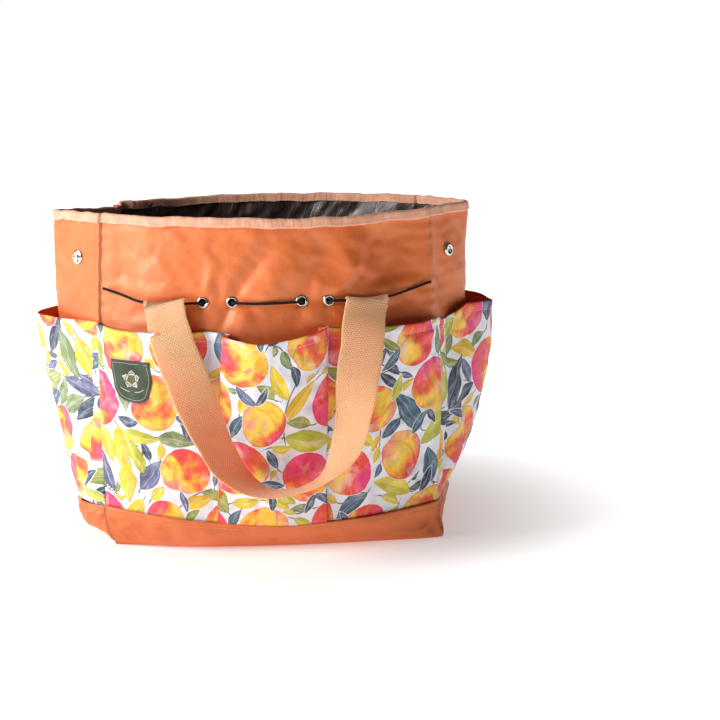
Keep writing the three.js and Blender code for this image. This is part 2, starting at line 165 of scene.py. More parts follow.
def wall(p, z, offset=0.0):
    """Points of the wall. p runs round the bag, anticlockwise from above: 0 is the front left seam,
    1 the front right one, 2 the back right, 3 the back left. offset moves the outline outwards."""
    p, z, offset = np.broadcast_arrays(np.asarray(p, float) % 4, np.asarray(z, float), offset)
    side = np.minimum(p.astype(int), 3)
    across = 2 * (p - side) - 1
    corner = section("corner_x", z) + offset
    front = section("front_y", z) + offset
    back = section("back_y", z) + offset
    crease = np.where(side == RIGHT, section("crease_right", z), section("crease_left", z)) + offset
    bow = 1 - across**2
    gusset = corner + (crease - corner) * (1 - np.sqrt(across**2 + 0.006) ** 1.15 / (1.006**0.575))
    x = np.choose(side, [corner * across, gusset, -corner * across, -gusset])
    y_front = -front - section("front_bow", z) * bow
    y_back = back + section("back_bow", z) * bow
    share = (across + 1) / 2
    y_right = -front + (front + back) * share
    y_left = back - (front + back) * share
    y = np.choose(side, [y_front, y_right, y_back, y_left])
    return np.stack([x, y, z], axis=-1)


def wall_normal(p, z):
    along = wall(p + 0.002, z) - wall(p - 0.002, z)
    up = wall(p, np.asarray(z) + 1) - wall(p, np.asarray(z) - 1)
    return unit(np.cross(along, up))


def face_x(p, z):
    """How far to the right of the middle a point of the front or back stands, seen from outside."""
    return (2 * (p % 1) - 1) * section("corner_x", z)


def p_at(side, x, z):
    return side + 0.5 + np.asarray(x, float) / (2 * section("corner_x", z))


# Soft folds of the front panel above the pockets: x and z of both ends, width and height.
FRONT_FOLDS = [
    (-31, 233, 12, 292, 9, -2.8),
    (-6, 226, 26, 272, 13, 2.2),
    (-53, 236, -46, 266, 4.5, 1.2),
    (-43, 230, -40, 254, 4.5, -1.3),
    (-32, 226, -47, 198, 6, -2.4),
    (-18, 222, -22, 198, 8, 1.6),
    (32, 233, 62, 292, 10, -2.4),
    (44, 232, 47, 258, 5, 1.0),
    (33, 225, 16, 198, 9, -2.2),
    (57, 233, 92, 272, 6, 1.4),
    (78, 244, 104, 292, 7, -1.2),
    (96, 236, 142, 243, 6, 1.7),
    (86, 222, 142, 220, 7, -1.4),
    (112, 236, 112, 318, 22, -5.6),
    (72, 250, 70, 300, 16, 1.6),
    (-96, 214, -92, 300, 26, 1.6),
    (-132, 236, -126, 300, 12, -1.2),
    (-120, 240, -62, 236, 8, 1.2),
    (-118, 220, -64, 218, 8, -1.3),
]
BACK_FOLDS = [
    (-31, 233, -60, 292, 10, -2.4),
    (32, 233, 4, 286, 10, -2.6),
    (0, 226, -14, 284, 14, 2.0),
    (56, 233, 70, 280, 8, 1.4),
    (-57, 233, -88, 268, 8, 1.4),
    (-32, 225, -20, 198, 8, -2.0),
    (33, 225, 46, 198, 8, -2.0),
    (110, 214, 104, 300, 22, -2.6),
    (-112, 214, -118, 300, 20, -3.0),
]


def folds(table, x, z):
    total = np.zeros(np.shape(x))
    for x0, z0, x1, z1, width, height in table:
        line = np.array([x1 - x0, z1 - z0], float)
        length = np.linalg.norm(line)
        line /= length
        along = (x - x0) * line[0] + (z - z0) * line[1]
        aside = (x - x0) * line[1] - (z - z0) * line[0]
        reach = 0.45 * length + 4
        starts = smooth(-reach * 0.35, reach * 0.35, along)
        ends = smooth(length - reach, length + reach * 0.5, along)
        total += height * starts * (1 - ends) * blob(aside, 0, width * (0.7 + 0.5 * smooth(0, length, along)))
    return total


def side_and_share(p):
    """Which side of the bag p is on, and what share of the way along it."""
    side = np.minimum((np.asarray(p) % 4).astype(int), 3)
    return side, np.asarray(p) % 4 - side


def seam_distance(p):
    side, share = side_and_share(p)
    return np.minimum(share, 1 - share) * SIDE_ARC[side]


def seam_shade(p):
    """How far the cloth's colour is darkened with painted shade in the pinch of a corner seam."""
    side, share = side_and_share(p)
    return np.exp(-share * SIDE_ARC[side] / 2.2) + 0.7 * np.exp(-(1 - share) * SIDE_ARC[side] / 0.9)


def sway(p, z):
    """How far the soft wall stands out from, or in behind, its even shape."""
    p, z = np.broadcast_arrays(np.asarray(p, float) % 4, np.asarray(z, float))
    side = np.minimum(p.astype(int), 3)
    x = face_x(p, z)
    high = smooth(196, 216, z)
    near = seam_distance(p)
    share = p - side
    after, before = share * SIDE_ARC[side], (1 - share) * SIDE_ARC[side]
    pinch = -1.7 * (np.exp(-after / 24) + np.exp(-before / 0.8)) + 0.3 * blob(before, 3, 3)
    puckers = 0.35 * np.exp(-near / 9) * np.sin(z * 0.42 + 2 * np.sin(z * 0.11))
    pulled = -1.8 * blob(z, CORD_Z, 7) * (1 - smooth(64, 96, np.abs(x)))
    front = folds(FRONT_FOLDS, x, z) + pulled
    back = folds(BACK_FOLDS, x, z) + pulled
    points = wall(p, z)
    broad = 1.2 * ripples(points, 120, 3)
    gusset = 1.6 * ripples(points * [1, 1, 0.55], 70, 5)
    shape = np.choose(side, [1.35 * front + 0.5 * broad, gusset, 1.2 * back + 0.8 * broad, gusset])
    fine = 0.3 * ripples(points, 27, 11) + 0.14 * ripples(points, 14, 12)
    fine = fine + 0.65 * (creased(ripples(points, 75, 13)) - 0.35) * smooth(210, 232, z)
    away = smooth(2, 18, near)
    return high * ((shape + fine) * away + puckers) + pinch * smooth(20, 60, z)


# How far the rim stands above its even height, and at which p.
RIM_TURNS = [0, 0.18, 0.35, 0.6, 0.8, 0.94, 1, 1.5, 2, 2.02, 2.3, 2.6, 2.85, 2.985, 3.02, 3.12, 3.4, 3.7, 4]
RIM_LIFTS = [0, -1.6, -2.0, -4.3, -3.2, -1.4, 0, 0.6, 1.9, 1.9, 2.5, 2.7, 0.9, 1.0, -3.6, -3.8, -1.2, 0, 0]


def rim_lift(p):
    """How far the rim stands above or below its even height, round the bag."""
    lift = np.interp(np.asarray(p) % 4, RIM_TURNS, RIM_LIFTS)
    return lift + 0.35 * np.sin(np.asarray(p) * 31) + 0.25 * np.sin(np.asarray(p) * 57 + 1)


def body(p, z, offset=0.0):
    """A point of the soft wall, with its folds and its uneven rim."""
    point = wall(p, z, offset + sway(p, z))
    point[..., 2] += rim_lift(p) * smooth(225, RIM_Z, point[..., 2])
    return point


def perimeter(spacing, seams=(0.8, 1.8, 3, 5, 8)):
    """Values of p all round the bag, spaced out evenly, and closer at the corner seams."""
    values = []
    for side in range(4):
        arc = SIDE_ARC[side]
        even = np.linspace(0, 1, int(round(arc / spacing)) + 1)[:-1]
        even = even[(even * arc > seams[-1] + 1) & ((1 - even) * arc > seams[-1] + 1)]
        close = np.array(seams) / arc
        values.append(side + np.concatenate([[0], close, even, 1 - close[::-1]]))
    return np.concatenate(values)


def arc_of(p):
    side = np.minimum(np.asarray(p).astype(int), 3)
    before = np.concatenate([[0], np.cumsum(SIDE_ARC)])[side]
    return before + (p - side) * SIDE_ARC[side]


# ---------------------------------------------------------------- meshes


def grid_faces(rows, columns, closed=False):
    r = np.arange(rows - 1)[:, None]
    c = np.arange(columns if closed else columns - 1)[None, :]
    n = (c + 1) % columns
    quads = [r * columns + c, r * columns + n, (r + 1) * columns + n, (r + 1) * columns + c]
    return np.stack(quads, axis=-1).reshape(-1, 4)


def add_mesh(name, points, faces, materials, **attributes):
    """A mesh object from points in millimetres, riding on nothing yet."""
    mesh = bpy.data.meshes.new(name)
    points = np.asarray(points, float).reshape(-1, 3) * MM
    mesh.from_pydata(points.tolist(), [], [list(f) for f in faces])
    mesh.polygons.foreach_set("use_smooth", np.full(len(mesh.polygons), True))
    for material in materials:
        mesh.materials.append(material)
    for key, values in attributes.items():
        values = np.asarray(values, np.float32)
        flat = values.ndim == 1
        layer = mesh.attributes.new(key, "FLOAT" if flat else "FLOAT_VECTOR", "POINT")
        layer.data.foreach_set("value" if flat else "vector", values.ravel())
    mesh.update()
    obj = bpy.data.objects.new(name, mesh)
    bpy.context.scene.collection.objects.link(obj)
    return obj


def add_grid(name, points, materials, flat, closed=False, flip=False, gone=None, **attributes):
    """A mesh of rows and columns of points; gone marks points left out, with the faces on them."""
    rows, columns = points.shape[:2]
    faces = grid_faces(rows, columns, closed)
    if flip:
        faces = faces[:, ::-1]
    coordinates = np.concatenate([flat, np.zeros(flat.shape[:-1] + (3 - flat.shape[-1],))], axis=-1)
    points, coordinates = points.reshape(-1, 3), coordinates.reshape(-1, 3)
    if gone is not None:
        kept = ~gone.ravel()
        faces = (np.cumsum(kept) - 1)[faces[kept[faces].all(axis=1)]]
        points, coordinates = points[kept], coordinates[kept]
        attributes = {key: values[kept] for key, values in attributes.items()}
    return add_mesh(name, points, faces, materials, flat=coordinates, **attributes)


def eyelet_holes(grid_p, grid_z):
    """Makes room for the eyelets in a grid over the wall: moves a ring of its points to each hole's
    edge, and says which points inside it go."""
    gone = np.zeros(grid_p.shape, bool)
    for side in (FRONT, BACK):
        for x in EYELET_X:
            p = float(p_at(side, x, CORD_Z))
            i = int(np.argmin(np.abs(grid_z[:, 0] - CORD_Z)))
            j = int(np.argmin(np.abs(grid_p[0] - p)))
            gone[i - 1 : i + 2, j - 1 : j + 2] = True
            for di in range(-2, 3):
                for dj in range(-2, 3):
                    if max(abs(di), abs(dj)) == 2:
                        turn = math.atan2(di, dj)
                        grid_p[i + di, j + dj] = p + EYELET_HOLE_R * math.cos(turn) / (2 * FACE_HALF)
                        grid_z[i + di, j + dj] = CORD_Z + EYELET_HOLE_R * math.sin(turn)
    return gone


def thicken(obj, thickness, inside=0):
    cloth = obj.modifiers.new("cloth", "SOLIDIFY")
    cloth.thickness = thickness * MM
    cloth.offset = -1
    cloth.material_offset = inside
    return obj


def tube(line, radius, sides):
    """A closed tube round a line, with how far along and round each point is."""
    tangent = unit(np.gradient(line, axis=0))
    normal = np.zeros_like(line)
    reference = np.array([0.0, 0.0, 1.0]) if abs(tangent[0][2]) < 0.9 else np.array([1.0, 0.0, 0.0])
    for i, t in enumerate(tangent):
        reference = unit(reference - (reference @ t) * t)
        normal[i] = reference
    other = np.cross(tangent, normal)
    turn = np.linspace(0, 2 * math.pi, sides, endpoint=False)
    ring = np.cos(turn)[None, :, None] * normal[:, None] + np.sin(turn)[None, :, None] * other[:, None]
    points = line[:, None] + radius * ring
    along = np.concatenate([[0], np.cumsum(np.linalg.norm(np.diff(line, axis=0), axis=1))])
    flat = np.stack(np.broadcast_arrays(along[:, None], turn[None, :]), axis=-1)
    faces = grid_faces(len(line), sides, True).tolist()
    last = (len(line) - 1) * sides
    faces += [list(range(sides))[::-1], [last + k for k in range(sides)]]
    return points.reshape(-1, 3), faces, flat.reshape(-1, 2)


def joined(parts):
    """Several (points, faces, flat) as one."""
    points, faces, flats, start = [], [], [], 0
    for part_points, part_faces, part_flat in parts:
        points.append(part_points)
        faces += [[start + i for i in f] for f in part_faces]
        flats.append(part_flat)
        start += len(part_points)
    return np.vstack(points), faces, np.vstack(flats)


def stitch_parts(line, normals, pitch=3.1, length=2.3, width=0.42, sink=0.08):
    """A row of thread stitches lying along a line on a surface."""
    steps = np.linalg.norm(np.diff(line, axis=0), axis=1)
    along = np.concatenate([[0], np.cumsum(steps)])
    count = max(1, int(along[-1] / pitch))
    starts = (np.arange(count) + 0.5) * along[-1] / count

    def at(values, where):
        return np.stack([np.interp(where, along, values[:, k]) for k in range(3)], axis=1)

    a, b = at(line, starts - length / 2), at(line, starts + length / 2)
    normal = unit(at(normals, starts))
    along_dir = unit(b - a)
    aside = np.cross(along_dir, normal)
    turn = np.linspace(0, 2 * math.pi, 6, endpoint=False)
    lift = [-sink, width * 0.3, width * 0.3, -sink]
    faces = grid_faces(4, 6, True)[:, ::-1].tolist() + [list(range(6)), list(range(18, 24))[::-1]]
    parts = []
    for i in range(count):
        ring = np.cos(turn)[:, None] * aside[i] * width / 2 + np.sin(turn)[:, None] * normal[i] * width / 2
        taper = along_dir[i] * 0.35
        stations = [(a[i], 0.25), (a[i] + taper, 1), (b[i] - taper, 1), (b[i], 0.25)]
        rows = np.array([c + normal[i] * h + ring * r for (c, r), h in zip(stations, lift)])
        flat = np.tile(np.array([[starts[i], 0.0]]), (24, 1))
        parts.append((rows.reshape(-1, 3), faces, flat))
    return parts


def add_parts(name, parts, material):
    points, faces, flat = joined(parts)
    return add_mesh(name, points, faces, [material], flat=np.column_stack([flat, np.zeros(len(flat))]))


def keep(obj, replaces=()):
    """Makes a piece part of the bag, in place of some CAD nodes or none."""
    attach(obj, "bag")
    if replaces:
        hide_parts(*replaces)
    return obj


# ---------------------------------------------------------------- materials


def colour(code):
    """A linear colour from a hex code."""
    value = [int(code[i : i + 2], 16) / 255 for i in (1, 3, 5)]
    return tuple(v / 12.92 if v <= 0.04045 else ((v + 0.055) / 1.055) ** 2.4 for v in value) + (1.0,)


class Nodes:
    """Builds one material's node tree."""

    def __init__(self, name, roughness=0.7, sheen=0.0, metallic=0.0, specular=0.5, sheen_roughness=0.4):
        self.material = bpy.data.materials.new(name)
        self.material.use_nodes = True
        self.tree = self.material.node_tree
        self.shader = self.tree.nodes["Principled BSDF"]
        self.shader.inputs["Roughness"].default_value = roughness
        self.shader.inputs["Sheen Weight"].default_value = sheen
        self.shader.inputs["Sheen Roughness"].default_value = sheen_roughness
        self.shader.inputs["Metallic"].default_value = metallic
        self.shader.inputs["Specular IOR Level"].default_value = specular

    def put(self, socket, value):
        if isinstance(value, bpy.types.NodeSocket):
            self.tree.links.new(value, socket)
        else:
            socket.default_value = value

    def math(self, operation, a, b=None, c=None):
        node = self.tree.nodes.new("ShaderNodeMath")
        node.operation = operation
        for socket, value in zip(node.inputs, (a, b, c)):
            if value is not None:
                self.put(socket, value)
        return node.outputs[0]

    def times(self, a, b):
        return self.math("MULTIPLY", a, b)

    def times_plus(self, a, b, c):
        return self.math("MULTIPLY_ADD", a, b, c)

    def plus(self, a, b):
        return self.math("ADD", a, b)

    def size(self, a):
        return self.math("ABSOLUTE", a)

    def sine(self, a):
        return self.math("SINE", a)

    def value(self, name):
        """A number held by the mesh's points."""
        return self.attribute(name).outputs["Fac"]

    def vector(self, name="flat"):
        """A vector held by the mesh's points. By default, their place on the flat cloth."""
        return self.attribute(name).outputs["Vector"]

    def step(self, value, low, high, to_low=0.0, to_high=1.0):
        """A smooth step of value from low to high; low may be the larger."""
        node = self.tree.nodes.new("ShaderNodeMapRange")
        node.interpolation_type = "SMOOTHSTEP"
        sizes = (low, high, to_low, to_high) if low < high else (high, low, to_high, to_low)
        self.put(node.inputs["Value"], value)
        for key, size in zip(("From Min", "From Max", "To Min", "To Max"), sizes):
            node.inputs[key].default_value = size
        return node.outputs["Result"]

    def mix(self, factor, a, b, blend="MIX"):
        node = self.tree.nodes.new("ShaderNodeMix")
        node.data_type = "RGBA"
        node.blend_type = blend
        self.put(node.inputs[0], factor)  # sockets 6 and 7 are the colours
        self.put(node.inputs[6], a)
        self.put(node.inputs[7], b)
        return node.outputs[2]

    def attribute(self, name):
        node = self.tree.nodes.new("ShaderNodeAttribute")
        node.attribute_name = name
        return node

    def split(self, vector):
        node = self.tree.nodes.new("ShaderNodeSeparateXYZ")
        self.put(node.inputs[0], vector)
        return node.outputs

    def join(self, x, y, z=0.0):
        node = self.tree.nodes.new("ShaderNodeCombineXYZ")
        for socket, value in zip(node.inputs, (x, y, z)):
            self.put(socket, value)
        return node.outputs[0]

    def noise(self, vector, scale, detail=3.0, roughness=0.5, distortion=0.0):
        node = self.tree.nodes.new("ShaderNodeTexNoise")
        self.put(node.inputs["Vector"], vector)
        node.inputs["Scale"].default_value = scale
        node.inputs["Detail"].default_value = detail
        node.inputs["Roughness"].default_value = roughness
        node.inputs["Distortion"].default_value = distortion
        return node.outputs["Fac"]

    def ramp(self, factor, stops):
        node = self.tree.nodes.new("ShaderNodeValToRGB")
        self.put(node.inputs[0], factor)
        ramp = node.color_ramp
        ramp.elements.remove(ramp.elements[1])
        ramp.elements[0].position, ramp.elements[0].color = stops[0][0], colour(stops[0][1])
        for position, code in stops[1:]:
            ramp.elements.new(position).color = colour(code)
        return node.outputs[0]

    def gradient_from(self, vector, low, high):
        """Rises from 0 to 1 with the distance from the origin."""
        node = self.tree.nodes.new("ShaderNodeVectorMath")
        node.operation = "LENGTH"
        self.put(node.inputs[0], vector)
        return self.step(node.outputs["Value"], low, high)

    def bump(self, height, distance, strength=1.0, normal=None):
        node = self.tree.nodes.new("ShaderNodeBump")
        self.put(node.inputs["Height"], height)
        node.inputs["Distance"].default_value = distance * MM
        node.inputs["Strength"].default_value = strength
        if normal is not None:
            self.put(node.inputs["Normal"], normal)
        return node.outputs[0]

    def finish(self, base, normal=None, roughness=None):
        self.put(self.shader.inputs["Base Color"], base)
        if normal is not None:
            self.put(self.shader.inputs["Normal"], normal)
        if roughness is not None:
            self.put(self.shader.inputs["Roughness"], roughness)
        return self.material


def wave(nodes, value, pitch):
    """A sine of value in millimetres, from 0 to 1."""
    return nodes.times_plus(nodes.sine(nodes.times(value, 2 * math.pi / pitch)), 0.5, 0.5)


def plain_weave(nodes, flat, pitch):
    """Height of a plain weave: warp and weft threads pass over each other in turn."""
    x, y, _ = nodes.split(flat)
    warp = nodes.sine(nodes.times(x, math.pi / pitch))
    weft = nodes.sine(nodes.times(y, math.pi / pitch))
    return nodes.size(nodes.times(warp, weft))


def cloth_material(name, light, deep, roughness, sheen=0.15, specular=0.4, seams=False):
    """Coated plain-woven cloth: even colour with faint clouds, a fine weave and small creases. Where seams
    are marked, the colour is darkened with painted shade, standing in for the shadow in the pinch of the
    seam."""
    nodes = Nodes(name, roughness=roughness, sheen=sheen, specular=specular)
    flat = nodes.vector()
    clouds = nodes.noise(flat, 0.018, 4, 0.55)
    fine = nodes.noise(flat, 0.9, 2, 0.6)
    base = nodes.mix(nodes.step(clouds, 0.3, 0.7), colour(deep), colour(light))
    base = nodes.mix(nodes.times(fine, 0.12), base, colour(deep), "MULTIPLY")
    if seams:
        # painted shade: the colour is pulled towards dark brown in the pinch of the corner seams
        painted_seam_shade = nodes.times(nodes.value("seam"), 0.6)
        base = nodes.mix(painted_seam_shade, base, colour("#6e2a10"))
    threads = plain_weave(nodes, flat, 0.8)
    creases = nodes.noise(flat, 0.075, 5, 0.55, 0.4)
    normal = nodes.bump(creases, 1.3, 0.5)
    normal = nodes.bump(threads, 0.07, 0.5, normal)
    rough = nodes.step(nodes.noise(flat, 0.05, 3), 0.2, 0.8, roughness - 0.06, roughness + 0.07)
    nodes.shader.inputs["Specular Tint"].default_value = (1.0, 0.82, 0.6, 1)
    return nodes.finish(base, normal, rough)


def webbing_material():
    """Heavy woven strap: raised picks in offset rows across it, with dark gaps between them."""
    rib, cord = 1.75, 1.35
    light, deep = colour("#ffc69c"), colour("#e09162")
    nodes = Nodes("peach_webbing", roughness=0.78, sheen=0.35, specular=0.25)
    flat = nodes.vector()
    x, y, _ = nodes.split(flat)
    row = nodes.math("FLOOR", nodes.math("DIVIDE", y, rib))
    odd = nodes.times(nodes.math("MODULO", nodes.size(row), 2.0), math.pi / 2)
    picks = nodes.size(nodes.sine(nodes.times_plus(x, math.pi / (2 * cord), odd)))
    rows = nodes.size(nodes.sine(nodes.times(y, math.pi / rib)))
    height = nodes.times(nodes.math("POWER", picks, 0.7), nodes.math("POWER", rows, 0.6))
    blotch = nodes.noise(flat, 0.06, 3)
    base = nodes.mix(nodes.step(height, 0.05, 0.6), deep, light)
    base = nodes.mix(nodes.times(blotch, 0.18), base, deep, "MULTIPLY")
    fibres = nodes.noise(nodes.join(nodes.times(x, 0.5), y), 4.0, 2)
    normal = nodes.bump(height, 0.32, 0.85)
    normal = nodes.bump(fibres, 0.05, 0.5, normal)
    nodes.shader.inputs["Subsurface Weight"].default_value = 0.9
    nodes.shader.inputs["Subsurface Radius"].default_value = (1.0, 0.42, 0.18)
    nodes.shader.inputs["Subsurface Scale"].default_value = 6.0 * MM
    return nodes.finish(base, normal)


def tape_material():
    """Ribbed binding tape, folded over the rim, with fine ribs across it."""
    nodes = Nodes("binding_tape", roughness=0.7, sheen=0.3, specular=0.3)
    flat = nodes.vector()
    x, y, _ = nodes.split(flat)
    ribs = wave(nodes, x, 1.25)
    blotch = nodes.noise(flat, 0.11, 4, 0.6)
    puckers = nodes.noise(nodes.join(x, nodes.times(y, 0.25)), 0.22, 3, 0.6)
    base = nodes.mix(nodes.step(blotch, 0.3, 0.7), colour("#f0a583"), colour("#f7c0a4"))
    base = nodes.mix(nodes.times(nodes.math("SUBTRACT", 1.0, ribs), 0.22), base, colour("#b86a4a"))
    normal = nodes.bump(puckers, 1.4, 0.75)
    normal = nodes.bump(ribs, 0.14, 0.7, normal)
    return nodes.finish(base, normal)


def lining_material():
    """Dark coated lining: smooth and shiny, with sharp creases."""
    nodes = Nodes("dark_lining", roughness=0.42, sheen=0.1, specular=0.65)
    flat = nodes.vector()
    x, y, _ = nodes.split(flat)
    slanted = nodes.join(nodes.times_plus(y, 0.55, x), nodes.times(y, 0.35))
    creases = nodes.noise(slanted, 0.05, 5, 0.6, 0.8)
    clouds = nodes.noise(flat, 0.03, 3)
    base = nodes.mix(clouds, colour("#2c1c16"), colour("#463630"))
    normal = nodes.bump(creases, 3.2, 0.8)
    normal = nodes.bump(plain_weave(nodes, flat, 0.5), 0.04, 0.35, normal)
    rough = nodes.step(creases, 0.3, 0.7, 0.34, 0.5)
    return nodes.finish(base, normal, rough)


def watercolour_edge(nodes, depth, base, dark):
    """Pigment pooled along a painted edge: depth is how far inside the edge a point is."""
    pool = nodes.step(depth, 1.6, 0.1)
    return nodes.mix(nodes.times(pool, 0.45), base, dark, "MULTIPLY")


def print_material():
    """White cloth printed with loose watercolour fruit, leaves and stems."""
    nodes = Nodes("fruit_print", roughness=0.55, sheen=0.1, specular=0.4)
    flat = nodes.vector()
    wobble = nodes.times_plus(nodes.noise(flat, 0.22, 3, 0.6), 2.2, -1.1)
    grain = nodes.noise(flat, 0.6, 4, 0.65)
    wash = nodes.noise(flat, 0.07, 4, 0.6, 0.6)
    ground = nodes.mix(nodes.step(wash, 0.35, 0.75), colour("#f4f3f8"), colour("#dfe1ee"))

    stem = nodes.size(nodes.value("stem_d"))
    stem = nodes.plus(stem, nodes.times_plus(grain, 0.7, -0.35))
    painted = nodes.mix(nodes.step(stem, 0.75, 0.35), ground, colour("#6d6458"))

    for layer in ("leaf", "fruit", "over"):
        depth = nodes.value(layer + "_d")
        depth = nodes.plus(depth, nodes.times(wobble, 0.45 if layer != "fruit" else 0.8))
        inside = nodes.step(depth, 0.25, -0.15)
        place = nodes.vector(layer + "_at")
        u, v, seed = nodes.split(place)
        if layer == "fruit":
            local = nodes.join(u, v, nodes.times(seed, 37.0))
            clouds = nodes.noise(local, 0.85, 3, 0.5, 0.7)
            second = nodes.noise(local, 2.2, 4, 0.6, 1.0)
            tone = nodes.times_plus(v, 0.34, 0.5)
            tone = nodes.plus(tone, nodes.times_plus(clouds, 1.7, -0.85))
            tone = nodes.plus(tone, nodes.times_plus(second, 0.34, -0.17))
            tone = nodes.plus(tone, nodes.times_plus(seed, 0.34, -0.24))
            skin = nodes.ramp(tone, [
                (0.0, "#f0437e"), (0.16, "#f25f7c"), (0.3, "#ee4a3c"), (0.44, "#f6744a"), (0.56, "#fbae3c"),
                (0.68, "#fcd443"), (0.82, "#fbc46a"), (1.0, "#f38a7d"),
            ])
            pale = nodes.noise(local, 1.4, 3, 0.5, 0.5)
            skin = nodes.mix(nodes.step(pale, 0.54, 0.74, 0, 0.65), skin, colour("#fcd8cf"))
            bend = nodes.math("SUBTRACT", u, nodes.times_plus(nodes.times(v, v), -0.45, 0.42))
            cleft = nodes.step(nodes.size(bend), 0.07, 0.0, 0, 0.35)
            skin = nodes.mix(cleft, skin, colour("#ef5a5a"), "MULTIPLY")
            body_colour = watercolour_edge(nodes, nodes.times(depth, -1.0), skin, colour("#f0685a"))
        else:
            tint = nodes.attribute(layer + "_tint").outputs["Color"]
            local = nodes.join(nodes.times(u, 2.0), nodes.times(v, 0.16), nodes.times(seed, 37.0))
            clouds = nodes.noise(local, 1.6, 4, 0.6, 0.7)
            tone = nodes.mix(nodes.step(clouds, 0.46, 0.76, 0, 0.42), tint, colour("#f2f2ee"))
            tone = nodes.mix(nodes.step(clouds, 0.5, 0.25, 0, 0.6), tone, tint, "MULTIPLY")
            half = nodes.step(v, -0.3, 0.3, 0, 0.28)
            tone = nodes.mix(half, tone, colour("#9aa0a8"), "MULTIPLY")
            vein = nodes.step(nodes.size(v), 0.45, 0.15, 0, 0.3)
            tone = nodes.mix(vein, tone, colour("#e9e7dc"))
            body_colour = watercolour_edge(nodes, nodes.times(depth, -1.0), tone, tint)
        halo = nodes.step(depth, 0.7, 0.4)
        painted = nodes.mix(halo, painted, ground) if layer != "leaf" else painted
        painted = nodes.mix(inside, painted, body_colour)

    painted = nodes.mix(nodes.times(grain, 0.1), painted, colour("#cfd0d8"), "MULTIPLY")
    creases = nodes.noise(flat, 0.06, 5, 0.55, 0.3)
    normal = nodes.bump(creases, 1.2, 0.5)
    normal = nodes.bump(plain_weave(nodes, flat, 0.8), 0.08, 0.5, normal)
    return nodes.finish(painted, normal)


def metal_material():
    nodes = Nodes("nickel", roughness=0.2, metallic=1.0)
    place = nodes.tree.nodes.new("ShaderNodeTexCoord").outputs["Object"]
    smudge = nodes.noise(place, 260.0, 4, 0.6)
    base = nodes.mix(smudge, colour("#bdb9b2"), colour("#dedbd5"))
    rough = nodes.step(smudge, 0.3, 0.7, 0.12, 0.3)
    return nodes.finish(base, nodes.bump(smudge, 0.03, 0.3), rough)


def elastic_material():
    """Round elastic in a braided black sleeve."""
    nodes = Nodes("black_elastic", roughness=0.75, sheen=0.08, specular=0.25)
    flat = nodes.vector()
    x, y, _ = nodes.split(flat)
    one = nodes.sine(nodes.times_plus(x, 2 * math.pi / 1.6, nodes.times(y, 3.0)))
    two = nodes.sine(nodes.times_plus(x, 2 * math.pi / 1.6, nodes.times(y, -3.0)))
    braid = nodes.math("MAXIMUM", one, two)
    base = nodes.mix(nodes.step(braid, -0.2, 1.0), colour("#070505"), colour("#1c1513"))
    return nodes.finish(base, nodes.bump(braid, 0.16, 0.8))


def thread_material(name, code):
    """Twisted sewing thread."""
    nodes = Nodes(name, roughness=0.6, sheen=0.3)
    flat = nodes.vector()
    place = nodes.tree.nodes.new("ShaderNodeTexCoord").outputs["Object"]
    twist = nodes.noise(place, 1500.0, 2)
    paler = nodes.mix(0.25, colour(code), colour("#ffffff"))
    base = nodes.mix(nodes.noise(flat, 0.3, 2), colour(code), paler)
    return nodes.finish(base, nodes.bump(twist, 0.08, 0.6))


def label_material():
    """Densely woven label."""
    nodes = Nodes("green_label", roughness=0.72, sheen=0.25)
    flat = nodes.vector()
    x, y, _ = nodes.split(flat)
    ribs = nodes.times(wave(nodes, x, 0.5), wave(nodes, y, 0.75))
    clouds = nodes.noise(flat, 0.12, 3)
    base = nodes.mix(clouds, colour("#2c3a2c"), colour("#3f4c3b"))
    base = nodes.mix(nodes.times(ribs, 0.25), base, colour("#55614e"))
    return nodes.finish(base, nodes.bump(ribs, 0.07, 0.6))


def board_material():
    nodes = Nodes("stiffener", roughness=0.6)
    place = nodes.tree.nodes.new("ShaderNodeTexCoord").outputs["Object"]
    mottle = nodes.noise(place, 90.0, 5, 0.6)
    base = nodes.mix(mottle, colour("#bdb8ae"), colour("#d9d5cc"))
    return nodes.finish(base, nodes.bump(mottle, 0.1, 0.4))


CORAL = cloth_material("coral_fabric", "#e5763a", "#db6a30", roughness=0.48, specular=1.0, sheen=0.04,
                       seams=True)
CORAL_INSIDE = cloth_material("coral_backing", "#e5733a", "#d75c25", roughness=0.65)
PRINT = print_material()
TAPE = tape_material()
WEBBING = webbing_material()
LINING = lining_material()
NICKEL = metal_material()
ELASTIC = elastic_material()
CORAL_THREAD = thread_material("coral_thread", "#f29a68")
PEACH_THREAD = thread_material("peach_thread", "#f8c9ac")
PALE_THREAD = thread_material("pale_thread", "#efe9e6")
LABEL = label_material()
CREAM_THREAD = thread_material("cream_thread", "#e9e4cf")
GOLD_THREAD = thread_material("gold_thread", "#d9b54a")

# ---------------------------------------------------------------- the print

PRINT_WIDTH = 660
PRINT_HEIGHT = 400
LEAF_TINTS = ["#4d5d78", "#6b6d96", "#577487", "#3d4c62", "#f6d425",
              "#ecd62c", "#d2cf3f", "#a3ab4c", "#8a9a63", "#f4c822"]
FAR = 30.0


class Leaf:
    """A painted leaf from its stalk end, bent to one side."""

    def __init__(self, x, y, angle, length, width, tint, bend, seed):
        self.x, self.y, self.angle, self.length = x, y, angle, length
        self.half, self.tint, self.bend, self.seed = width / 2, tint, bend, seed
        self.radius = length

    def place(self, x, y):
        c, s = math.cos(self.angle), math.sin(self.angle)
        u = (x - self.x) * c + (y - self.y) * s
        v = (y - self.y) * c - (x - self.x) * s
        t = np.clip(u / self.length, 0, 1)
        v = v - self.bend * 4 * t * (1 - t)
        beyond = np.maximum(np.maximum(-u, u - self.length), 0)
        half = self.half * np.sin(math.pi * t**0.85) ** 0.9
        distance = np.where(beyond > 0, np.hypot(beyond, v), (np.abs(v) - half) * 0.92)
        return distance, np.stack([u / self.length, v, np.full_like(u, self.seed)], axis=-1)


